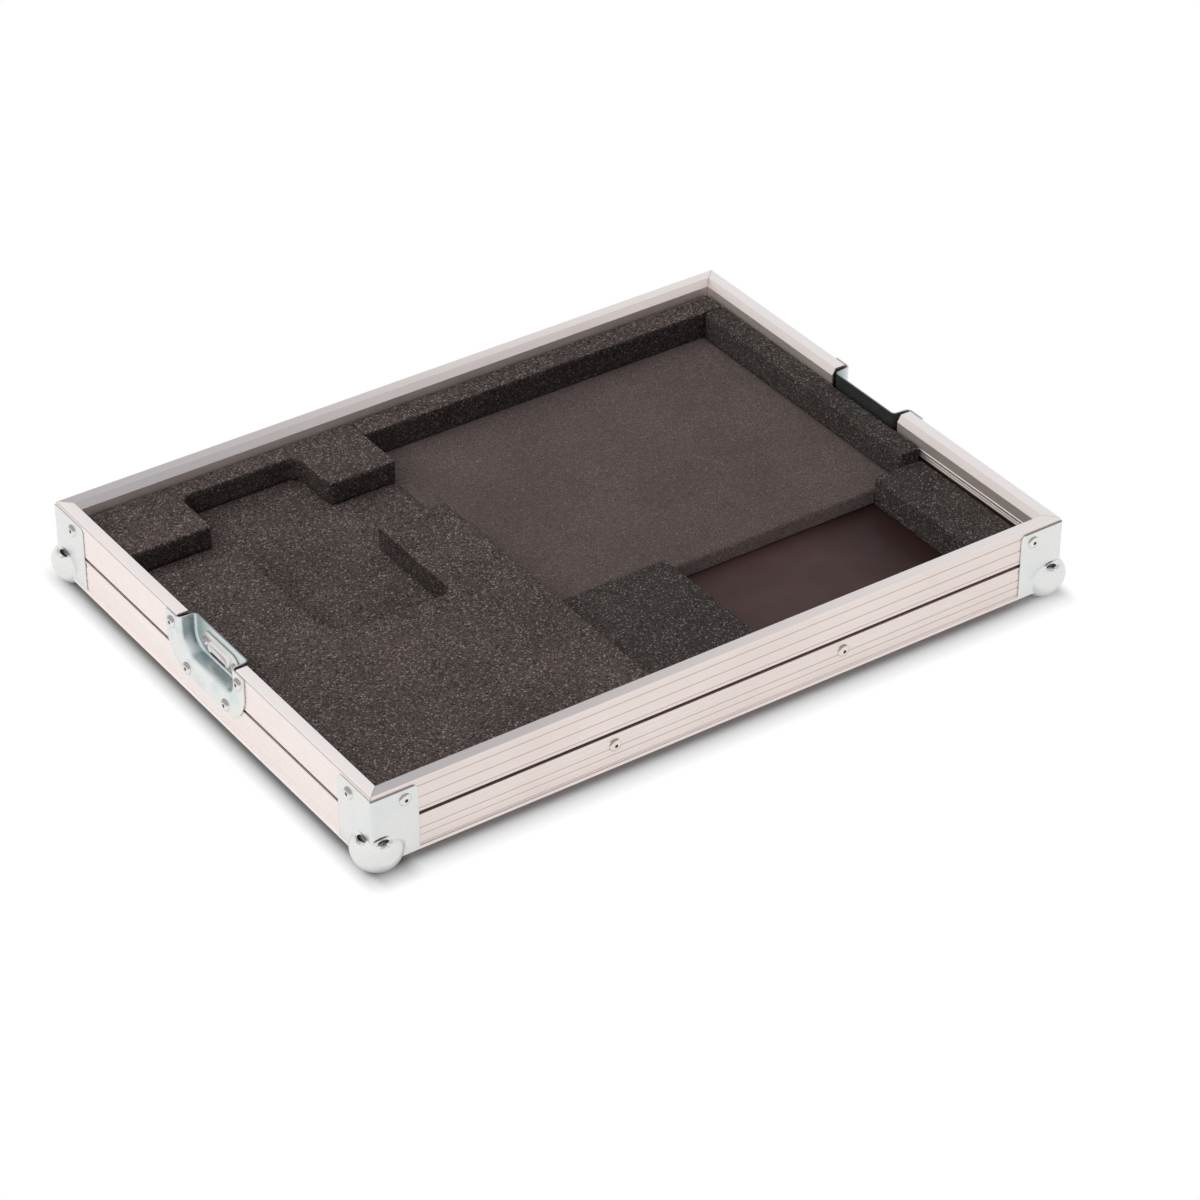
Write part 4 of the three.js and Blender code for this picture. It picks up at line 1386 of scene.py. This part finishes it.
@dataclass
class LatchDishes:
    """The recessed dishes of the short walls, each with its keeper plate."""

    case: Case
    width: float = 109 * MM
    height: float = 44 * MM
    top_drop: float = 0.5 * MM
    corner_radius: float = 28 * MM
    mouth_width: float = 82 * MM
    mouth_drop: float = 32 * MM
    mouth_radius: float = 19 * MM
    roll: float = 4.5 * MM
    draft: float = 0.5 * MM
    fillet: float = 2.5 * MM
    depth: float = 13 * MM
    spare: float = 25 * MM
    bend_steps: int = 6
    top_round: float = 3 * MM
    edge_round: float = 0.2 * MM
    keeper_width: float = 50 * MM
    keeper_height: float = 18 * MM
    keeper_drop: float = 15.3 * MM
    keeper_margin: float = 2.5 * MM
    boss_width: float = 31 * MM
    slot_width: float = 22 * MM
    slot_height: float = 3 * MM
    slot_lower: float = 5.5 * MM
    slot_round: float = 1.4 * MM
    keeper_edge: float = 0.15 * MM
    keeper_share: float = 0.9
    slot: str = "dish_steel"
    boss_rings: tuple[tuple[float, float], ...] = (
        (0.4 * MM, 1.2 * MM), (0.6 * MM, 0.9 * MM), (0.8 * MM, 0.45 * MM),
        (0.8 * MM, 0.05 * MM), (0.8 * MM, -0.35 * MM), (0.8 * MM, -0.3 * MM),
    )

    def rounded_plate(self, name: str, width: float, low: float, high: float,
                      radius: float) -> Workpiece:
        """Makes an upright plate at the flange's face with its corners rounded.

        Args:
            name: The plate's name.
            width: Its width.
            low: Its lowest level.
            high: Its highest level.
            radius: The corners' radius.

        Returns:
            The plate, in object mode.
        """
        centre = (0.0, -self.case.sheet_face, (low + high) / 2)
        plate = Workpiece.plane(name, centre, (width, high - low), True)
        plate.edit("VERT")
        bpy.ops.mesh.select_all(action="SELECT")
        bpy.ops.mesh.bevel(offset=radius, segments=8, profile=0.5, affect="VERTICES")
        return plate.done()

    def wall_rings(self) -> list[tuple[float, float]]:
        """Lists the insets of the recess: the rolled mouth, the wall with its draft and the fillet.

        Returns:
            Pairs of the width of each ring and how far it rises.
        """
        turns = [step / self.bend_steps * math.pi / 2 for step in range(self.bend_steps + 1)]
        pairs = list(zip(turns, turns[1:]))
        roll = [(self.roll * (math.sin(b) - math.sin(a)), -self.roll * (math.cos(a) - math.cos(b)))
                for a, b in pairs]
        fillet = [(self.fillet * (math.cos(a) - math.cos(b)), -self.fillet * (math.sin(b) - math.sin(a)))
                  for a, b in pairs]
        straight = self.depth + self.case.sheet_face - self.roll - self.fillet
        return [*roll, (self.draft, -straight), *fillet]

    def pressing(self) -> Workpiece:
        """Presses one dish in wall directions.

        Returns:
            The dish.
        """
        case = self.case
        top = case.top - self.top_drop
        high = top + self.spare
        dish = self.rounded_plate("dish", self.width, case.top - self.height, high, self.corner_radius)
        dish.edit("FACE")
        dish.pick("faces", lambda face: True)
        bpy.ops.mesh.delete(type="ONLY_FACE")
        dish.done()
        mouth_low = case.top - self.mouth_drop
        dish.join(self.rounded_plate("mouth", self.mouth_width, mouth_low, high, self.mouth_radius))
        dish.edit()
        dish.pick("edges", lambda edge: True)
        bpy.ops.mesh.fill(use_beauty=True)
        dish.pick("faces", lambda face: len(face.verts) > 8)
        dish.inset_path(self.wall_rings())
        dish.done()
        dish.face_outwards((0.0, -1.0, 0.0))
        dish.modify("SOLIDIFY", thickness=case.sheet, offset=-1.0)
        dish.slice((0.0, 0.0, top), (0.0, 0.0, -1.0))
        dish.edit()
        dish.pick("edges", lambda edge: abs(abs(middle(edge).x) - self.width / 2) < CLOSE
                  and all(abs(vertex.co.z - top) < CLOSE for vertex in edge.verts))
        bpy.ops.mesh.bevel(offset=self.top_round, segments=5, profile=0.5)
        dish.done()
        return dish.round_edges(self.edge_round).polish(30)

    def spread_ends(self, plate: Workpiece, shift: float, among: Sequence[int] | None = None) -> None:
        """Moves the two halves of a round plate apart along the wall, in edit mode.

        Args:
            plate: The plate being edited.
            shift: How far each half moves.
            among: Numbers of the corner points that may move, or None for all.
        """
        for side in (-1, 1):
            plate.pick("verts", lambda vertex: side * vertex.co.x > 0.1 * MM
                       and (among is None or vertex.index in among))
            bpy.ops.transform.translate(value=(side * shift, 0.0, 0.0))

    def keeper(self) -> Workpiece:
        """Presses one keeper plate in wall directions.

        Returns:
            The keeper, riveted to the back of its dish.
        """
        case = self.case
        level = case.top - self.keeper_drop
        front = self.depth - case.sheet_face
        turn = Matrix.Translation((0.0, front, level)) @ Matrix.Rotation(math.pi / 2, 4, "X")
        plate = Workpiece.disc("keeper", self.keeper_height / 2, 48).move_mesh(turn)
        plate.edit()
        self.spread_ends(plate, (self.keeper_width - self.keeper_height) / 2)
        plate.pick("faces", lambda face: True)
        plate.inset_path([(self.keeper_margin, 0.0)])
        corners = bmesh.from_edit_mesh(plate.obj.data).verts
        boss_ends = [vertex.index for vertex in corners if vertex.select]
        shift = (self.boss_width - self.keeper_width) / 2 + self.keeper_margin
        self.spread_ends(plate, shift, boss_ends)
        plate.pick("faces", lambda face: len(face.verts) > 8)
        plate.inset_path(self.boss_rings)
        plate.done()
        plate.face_outwards((0.0, -1.0, 0.0))
        plate.modify("SOLIDIFY", thickness=case.sheet * self.keeper_share, offset=-1.0)
        slot_top = level - self.slot_lower + self.slot_height
        slot = Workpiece.cube(
            "slot",
            (-self.slot_width / 2, 0.0, slot_top - self.slot_height),
            (self.slot_width / 2, self.depth + case.sheet, slot_top),
        )
        slot.modify("BEVEL", width=self.slot_round, segments=4, limit_method="ANGLE")
        return plate.carve(slot).round_edges(self.keeper_edge).smooth(35)

    def build(self) -> None:
        """Builds and places both dishes and keepers."""
        finish = DishZinc(wall_at=self.case.length / 2).build()
        plate_finish = ZincPlate(
            "keeper_zinc", base=(0.74, 0.72, 0.69), cool=(0.58, 0.63, 0.64),
            warm=(0.76, 0.70, 0.62), roughness=0.25,
        ).build()
        dish, keeper = self.pressing(), self.keeper()
        for wall in (Wall.LEFT, Wall.RIGHT):
            side = wall.name.lower()
            move = self.case.to_wall(wall)
            dish.copy(f"{side}_dish", move).finish(finish, self.slot, f"latch_dish_{side}")
            keeper.copy(f"{side}_keeper", move).finish(plate_finish, self.slot, f"keeper_plate_{side}")
        dish.scrap()
        keeper.scrap()


@dataclass
class Rivets:
    """The blind rivets, one head modelled and copied to every rivet of the frame."""

    case: Case
    head_radius: float = 5 * MM
    keeper_head_radius: float = 3.6 * MM
    rise: float = 1.7 * MM
    hole_radius: float = 1.3 * MM
    seat: float = 0.15 * MM
    shank_radius: float = 2 * MM
    shank_length: float = 2.5 * MM
    sides: int = 28
    rings: int = 5
    edge_rise: float = 0.35
    dome_share: float = 0.92
    hole_depth: float = 0.9 * MM
    hole_lip: float = 0.15 * MM
    hole_draft: float = 0.05 * MM
    turn_step: float = 0.7
    proud: float = 1.0 * MM

    def head(self) -> Workpiece:
        """Forms one rivet facing +Z, with the underside of its head at Z = 0.

        Returns:
            The rivet.
        """
        rivet = Workpiece.disc("rivet", self.head_radius, self.sides)
        rivet.edit("FACE")
        rivet.pick("faces", lambda face: True)
        span = self.head_radius - self.hole_radius
        dome = []
        lift = 0.0
        for ring in range(1, self.rings + 1):
            turn = ring / self.rings * math.pi / 2
            reached = self.edge_rise + (1.0 - self.edge_rise) * math.sin(turn)
            dome.append((span / self.rings * self.dome_share, (reached - lift) * self.rise))
            lift = reached
        hole = [
            ((1.0 - self.dome_share) * span, -self.hole_lip),
            (self.hole_draft, -self.hole_depth),
            (0.5 * self.hole_radius, -0.1 * MM),
        ]
        bpy.ops.mesh.extrude_region_move(TRANSFORM_OT_translate={"value": (0.0, 0.0, self.seat)})
        rivet.inset_path([*dome, *hole])
        rivet.pick("edges", lambda edge: abs(middle(edge).z) < EXACT)
        bpy.ops.mesh.edge_face_add()
        rivet.pick("faces", lambda face: abs(middle(face).z) < EXACT and len(face.verts) > 6)
        rivet.inset_path([(self.head_radius - self.shank_radius, 0.0), (0.0, self.shank_length)])
        rivet.done()
        rivet.face_outwards((0.0, 0.0, 1.0))
        # Marks the hole, where the rivet's finish paints shade.
        marks = rivet.obj.data.attributes.new(HOLE, "FLOAT", "POINT")
        for mark, vertex in zip(marks.data, rivet.obj.data.vertices):
            mark.value = float(Vector(vertex.co[:2]).length < self.hole_radius * 1.05)
        return rivet.smooth(40)

    def outward(self, node: str, low: Vector, high: Vector) -> Vector:
        """Finds which way a rivet's head faces, from where its box stands out of the case.

        Args:
            node: The CAD node's name.
            low: Lowest corner of its box.
            high: Highest corner of its box.

        Returns:
            The unit direction.
        """
        if node.startswith("keeper"):
            return Vector((-1.0 if "left" in node else 1.0, 0.0, 0.0))
        if low.z >= self.case.base - self.proud:
            for axis, half in ((0, self.case.length / 2), (1, self.case.width / 2)):
                for sign, reach in ((-1.0, -low[axis]), (1.0, high[axis])):
                    if reach > half + self.proud:
                        direction = Vector()
                        direction[axis] = sign
                        return direction
        return Vector((0.0, 0.0, -1.0))

    def build(self, nodes: Sequence[str]) -> None:
        """Copies the rivet to each rivet node.

        Args:
            nodes: Names of the CAD's nodes.
        """
        steel = RivetMetal(
            "rivet_steel", base=(0.80, 0.78, 0.76), cool=(0.66, 0.68, 0.68), warm=(0.82, 0.76, 0.70),
            metallic=0.92, roughness=0.16,
        ).build()
        beige = RivetMetal(
            "rivet_aluminium", base=(0.82, 0.74, 0.68), cool=(0.70, 0.66, 0.64), warm=(0.84, 0.74, 0.66),
            metallic=0.88, roughness=0.24,
        ).build()
        pattern = self.head()
        total = self.rise + self.seat
        for index, node in enumerate(sorted(nodes)):
            low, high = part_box(node)
            direction = self.outward(node, low, high)
            tip = (low + high) / 2
            for axis in range(3):
                if direction[axis]:
                    tip[axis] = low[axis] if direction[axis] < 0 else high[axis]
            seat = tip - direction * total
            turn = direction.to_track_quat("Z", "Y").to_matrix().to_4x4()
            roll = Matrix.Rotation(index * self.turn_step, 4, "Z")
            size = self.keeper_head_radius / self.head_radius if node.startswith("keeper") else 1.0
            scale = Matrix.Diagonal((size, size, 1.0, 1.0))
            finish = beige if node.startswith("wall") else steel
            pattern.copy(f"{node}_head", Matrix.Translation(seat) @ turn @ roll @ scale).finish(
                finish, "rivet", node
            )
        pattern.scrap()


@dataclass
class FoamInsert:
    """The cut foam: two layers on the left, blocks and a smooth sheet on the right."""

    case: Case
    voxel: float = 2.0 * MM
    roughness: float = 0.5 * MM
    recess_left: float = -213.2 * MM
    recess_right: float = -112.2 * MM
    recess_near: float = -31.6 * MM
    recess_far: float = 187.2 * MM
    recess_round: float = 10 * MM
    recess_cut_corner: float = 27 * MM
    island_round: float = 8 * MM
    left_channel: tuple[float, float] = (105.7 * MM, 140.7 * MM)
    right_channel: tuple[float, float] = (70.4 * MM, 138.7 * MM)
    channel_reach: float = 20 * MM
    notch_half: float = 42 * MM
    notch_depth: float = 15.2 * MM
    notch_drop: float = 33 * MM
    overrun: float = 5 * MM
    grain_size: float = 4 * MM

    def recess_cutter(self, low_z: float, high_z: float) -> Workpiece:
        """Makes the recess's shape, each upright corner with its own radius.

        Args:
            low_z: Its lowest level.
            high_z: Its highest level.

        Returns:
            The cutter.
        """
        cutter = Workpiece.cube(
            "recess",
            (self.recess_left, self.recess_near, low_z),
            (self.recess_right, self.recess_far, high_z),
        )
        corners = (
            (self.recess_left, self.recess_near, self.recess_cut_corner),
            (self.recess_right, self.recess_near, self.recess_round),
            (self.recess_left, self.recess_far, self.island_round),
            (self.recess_right, self.recess_far, self.recess_round),
        )
        cutter.edit()
        for x, y, radius in corners:
            self.round_upright(cutter, x, y, radius)
        return cutter.done()

    def round_upright(self, piece: Workpiece, x: float, y: float, radius: float) -> None:
        """Rounds the upright edge at a place, in edit mode.

        Args:
            piece: The piece being edited.
            x: The edge's place along X.
            y: The edge's place along Y.
            radius: The radius.
        """
        found = piece.pick("edges", lambda edge: (middle(edge).xy - Vector((x, y))).length < CLOSE
                           and abs(edge.verts[0].co.z - edge.verts[1].co.z) > self.overrun)
        if found:
            bpy.ops.mesh.bevel(offset=radius, segments=8, profile=0.5)

    def dish_cutter(self, side: int, low_z: float, high_z: float) -> Workpiece:
        """Makes the space that a dish takes out of the foam.

        Args:
            side: -1 on the left and 1 on the right.
            low_z: Its lowest level.
            high_z: Its highest level.

        Returns:
            The cutter.
        """
        inner = side * (self.case.length / 2 - self.notch_depth)
        outer = side * self.case.length / 2
        return Workpiece.cube(
            "notch",
            (min(inner, outer), -self.notch_half, low_z),
            (max(inner, outer), self.notch_half, high_z),
        )

    def block(self, node: str) -> Workpiece:
        """Cuts one block of foam out of its node's box, sharp edged.

        Args:
            node: The CAD node's name.

        Returns:
            The block.
        """
        low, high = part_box(node)
        piece = Workpiece.cube(f"{node}_cut", low, high)
        below, above = low.z - self.overrun, high.z + self.overrun
        if node in ("foam_front_block", "foam_back_block"):
            reach = self.channel_reach
            piece.carve(self.recess_cutter(below, above))
            left, right = self.left_channel, self.right_channel
            piece.carve(Workpiece.cube(
                "left_channel",
                (low.x - reach, left[0], below),
                (self.recess_left + reach, left[1], above),
            ))
            piece.carve(Workpiece.cube(
                "right_channel",
                (self.recess_right - reach, right[0], below),
                (high.x + reach, right[1], above),
            ))
        if node == "foam_back_block":
            piece.edit()
            self.round_upright(piece, self.recess_right, self.right_channel[1], self.island_round)
            piece.done()
        if node in ("foam_front_block", "foam_right_strip"):
            side = -1 if node == "foam_front_block" else 1
            piece.carve(self.dish_cutter(side, self.case.top - self.notch_drop, above))
        return piece

    def roughen(self, piece: Workpiece, strength: float) -> Workpiece:
        """Turns a sharp block into cut foam with soft, slightly uneven edges.

        Args:
            piece: The block.
            strength: How uneven its faces are.

        Returns:
            The piece.
        """
        piece.modify("REMESH", mode="VOXEL", voxel_size=self.voxel, use_smooth_shade=True)
        grain = bpy.data.textures.new("foam_grain", "CLOUDS")
        grain.noise_scale = self.grain_size
        grain.noise_depth = 2
        piece.modify("DISPLACE", texture=grain, texture_coords="LOCAL", strength=strength, mid_level=0.6)
        return piece

    def build(self) -> None:
        """Builds and places every block."""
        # Painted shade on the coarse foam's upright faces and painted light on the fine sheet's upright
        # faces.
        coarse = CutFoam(
            "coarse_foam",
            pore=(0.006, 0.0045, 0.004), wall=(0.166, 0.127, 0.117), glint=(0.31, 0.27, 0.26),
            cell_size=1.0 * MM, glint_share=0.08, relief=0.4 * MM, side_painted_light=0.6,
        ).build()
        fine = CutFoam(
            "fine_foam",
            pore=(0.050, 0.038, 0.036), wall=(0.166, 0.127, 0.122), glint=(0.22, 0.19, 0.18),
            cell_size=0.7 * MM, glint_share=0.05, relief=0.15 * MM, side_painted_light=2.0,
        ).build()
        dark = CutFoam(
            "dark_foam",
            pore=(0.006, 0.005, 0.0045), wall=(0.108, 0.089, 0.081), glint=(0.24, 0.22, 0.21),
            cell_size=0.95 * MM, glint_share=0.08, relief=0.45 * MM,
        ).build()
        slabs = {
            "foam_left_base": coarse, "foam_front_block": coarse,
            "foam_back_block": coarse, "foam_back_strip": coarse,
            "foam_right_strip": dark, "foam_right_block": dark, "foam_centre_block": dark,
            "foam_pit_sheet": fine,
        }
        for node, finish in slabs.items():
            smooth = finish is fine
            piece = self.roughen(self.block(node), self.roughness / 2 if smooth else self.roughness)
            piece.finish(finish, "fine_foam" if smooth else "coarse_foam", node)


@dataclass
class Panels:
    """The plywood of the floor and the walls, kept from the frame and given its film and plies."""

    wall_film: Colour = (0.13, 0.078, 0.07)
    floor_film: Colour = (0.072, 0.040, 0.039)
    # Where the painted shadow on the floor's film begins.
    shaded_from: float = 165 * MM

    def build(self, nodes: dict[str, bpy.types.Object]) -> None:
        """Dresses the panels.

        Args:
            nodes: The frame's objects by name.
        """
        floor = FilmedPlywood(
            "floor_film", self.floor_film, gloss=0.38, thickness_axis=2, painted_shadow_from=self.shaded_from
        ).build()
        along_x = FilmedPlywood("wall_film_x", self.wall_film, gloss=0.45, thickness_axis=1).build()
        along_y = FilmedPlywood("wall_film_y", self.wall_film, gloss=0.45, thickness_axis=0).build()
        finishes = {
            "floor_panel": floor, "wall_panel_front": along_x, "wall_panel_back": along_x,
            "wall_panel_left": along_y, "wall_panel_right": along_y,
        }
        for node, finish in finishes.items():
            nodes[node].data.materials.clear()
            nodes[node].data.materials.append(finish)
            LOG.info("%s: finish only", node)


@dataclass(frozen=True)
class Lamp:
    """A soft round lamp that looks at the middle of the case and that metal doesn't mirror."""

    name: str
    place: Point
    size: float
    power: float
    tint: Colour

    def hang(self) -> None:
        """Hangs the lamp."""
        data = bpy.data.lights.new(self.name, "AREA")
        data.shape = "DISK"
        data.size = self.size
        data.energy = self.power
        data.color = self.tint
        lamp = bpy.data.objects.new(self.name, data)
        lamp.location = self.place
        lamp.visible_glossy = False
        lamp.rotation_euler = Vector(self.place).to_track_quat("Z", "Y").to_euler()
        bpy.context.scene.collection.objects.link(lamp)


@dataclass
class Studio:
    """Camera, floor, world and lamps of a plain pale studio."""

    case: Case
    distance: float = 2.9993
    azimuth: float = -34.58
    elevation: float = 34.78
    target_x: float = -39.3 * MM
    target_y: float = -113.2 * MM
    target_drop: float = 1.7 * MM
    lens: float = 125.49
    sensor: float = 36.0
    clip_end: float = 100.0
    floor_size: float = 60.0
    ambient: float = 0.42
    ambient_tint: Colour = (0.96, 0.98, 1.0)
    grey_side: Point = (0.466, 0.676, 0.570)
    grey: Colour = (0.72, 0.74, 0.76)
    shadow_reach: tuple[float, float] = (2 * MM, -5 * MM)
    shadow_fall: Point = (85.0, 40.0, 0.0)
    floor_tone: Colour = (0.97, 0.97, 0.97)
    # Painted shadow in the floor's colour: by the left wall, and darker under the case.
    left_painted_shadow: Colour = (0.74, 0.74, 0.75)
    left_band: tuple[float, float] = (-2 * MM, 3 * MM)
    under_painted_shadow: Colour = (0.34, 0.34, 0.34)
    under_band: tuple[float, float] = (25 * MM, 35 * MM)
    lamps: tuple[Lamp, ...] = (
        Lamp("overhead", (-1.0, 0.7, 2.3), 5.2, 58.0, (1.0, 0.99, 0.97)),
        Lamp("left", (-2.4, 0.2, 1.3), 3.05, 20.0, (1.0, 0.98, 0.96)),
    )

    def camera(self) -> None:
        """Sets the camera where the photograph was taken from."""
        data = bpy.data.cameras.new("photo_camera")
        data.lens = self.lens
        data.sensor_width = self.sensor
        data.clip_end = self.clip_end
        turn, lift = math.radians(self.azimuth), math.radians(self.elevation)
        level = math.cos(lift)
        back = Vector((math.sin(turn) * level, -math.cos(turn) * level, math.sin(lift)))
        target = Vector((self.target_x, self.target_y, self.case.top - self.target_drop))
        camera = bpy.data.objects.new("photo_camera", data)
        camera.location = target + back * self.distance
        camera.rotation_euler = back.to_track_quat("Z", "Y").to_euler()
        bpy.context.scene.collection.objects.link(camera)
        bpy.context.scene.camera = camera

    def seen_rays(self, sheet: NodeSheet) -> Socket:
        """Says 1 for the rays that show the background: from the camera, off metal, through glass.

        Args:
            sheet: The node sheet of a material or the world.

        Returns:
            The result's socket.
        """
        path = sheet.add("LightPath", {}).outputs
        seen = sheet.calc("MAXIMUM", path["Is Camera Ray"], path["Is Glossy Ray"])
        return sheet.calc("MAXIMUM", seen, path["Is Transmission Ray"])

    def world(self) -> None:
        """Lights everything evenly, and shows a white studio with a grey back right side to metal."""
        world = bpy.data.worlds.new("studio")
        world.use_nodes = True
        bpy.context.scene.world = world
        sheet = NodeSheet(world.node_tree)
        where = sheet.add("TexCoord", {}).outputs["Generated"]
        towards = sheet.vector("DOT_PRODUCT", where, self.grey_side, result="Value")
        tone = sheet.paint(WHITE, self.grey, sheet.spread(towards, 0.45, 0.95))
        tone = sheet.paint(tone, WHITE, sheet.add("LightPath", {}).outputs["Is Camera Ray"])
        tint = (*self.ambient_tint, 1.0)
        light = sheet.add("Background", {"Color": tint, "Strength": self.ambient}).outputs[0]
        white = sheet.add("Background", {"Color": tone, "Strength": 1.0}).outputs[0]
        mixed = sheet.add("MixShader", {0: self.seen_rays(sheet), 1: light, 2: white}).outputs[0]
        sheet.add("OutputWorld", {"Surface": mixed})

    def past_shadow(self, sheet: NodeSheet, place: Socket) -> Socket:
        """Says 0 on the floor at the tray and 1 where its shadow has ended.

        Args:
            sheet: The floor's node sheet.
            place: The socket of the place.

        Returns:
            The result's socket.
        """
        long_reach, short_reach = self.shadow_reach
        half = (self.case.length / 2 + long_reach, self.case.width / 2 + short_reach, 0.0)
        away = sheet.vector("SUBTRACT", sheet.vector("ABSOLUTE", place), half)
        away = sheet.vector("MAXIMUM", sheet.vector("MULTIPLY", away, self.shadow_fall), (0.0, 0.0, 0.0))
        return sheet.spread(sheet.vector("LENGTH", away, result="Value"), 0.0, 1.0)

    def floor(self) -> None:
        """Lays a wide floor that keeps the tray's shadow close to it, with painted shadow in its colour
        by the left wall and under the case, and is plain white further out.
        """
        floor = Workpiece.plane("studio_floor", (0.0, 0.0, 0.0), (self.floor_size,) * 2, False)
        material, sheet = new_finish("studio_white")
        place = sheet.add("TexCoord", {}).outputs["Object"]
        share = sheet.calc("MULTIPLY", self.past_shadow(sheet, place), self.seen_rays(sheet))
        across, wall = sheet.axes(place)[0], -self.case.length / 2
        left, under = self.left_band, self.under_band
        # Painted shadow: the floor's colour is darker left of the left wall, and darker still in a band
        # just inside that wall's line, under the case.
        tone = sheet.paint(
            self.left_painted_shadow, self.under_painted_shadow, sheet.spread(across, wall + left[0], wall + left[1])
        )
        tone = sheet.paint(tone, self.floor_tone, sheet.spread(across, wall + under[0], wall + under[1]))
        matt = sheet.add("BsdfDiffuse", {"Color": tone}).outputs[0]
        white = sheet.add("Emission", {"Color": (*WHITE, 1.0), "Strength": 1.0}).outputs[0]
        mixed = sheet.add("MixShader", {0: share, 1: matt, 2: white}).outputs[0]
        sheet.add("OutputMaterial", {"Surface": mixed})
        floor.obj.data.materials.append(material)

    def build(self) -> None:
        """Builds the studio."""
        self.camera()
        self.world()
        self.floor()
        for lamp in self.lamps:
            lamp.hang()
        bpy.context.scene.view_settings.view_transform = "Standard"
        LOG.info("studio set")


def main() -> None:
    """Loads the frame and dresses it, one sub-assembly after the other."""
    logging.basicConfig(level=logging.INFO, format="%(name)s: %(message)s")
    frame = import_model()
    case = Case()
    Studio(case).build()
    Panels().build(frame["nodes"])
    FoamInsert(case).build()
    Profiles(case).build()
    BallCorners(case).build()
    LatchDishes(case).build()
    Rivets(case).build([name for name in frame["nodes"] if "_rivet_" in name])


if __name__ == "__main__":
    main()
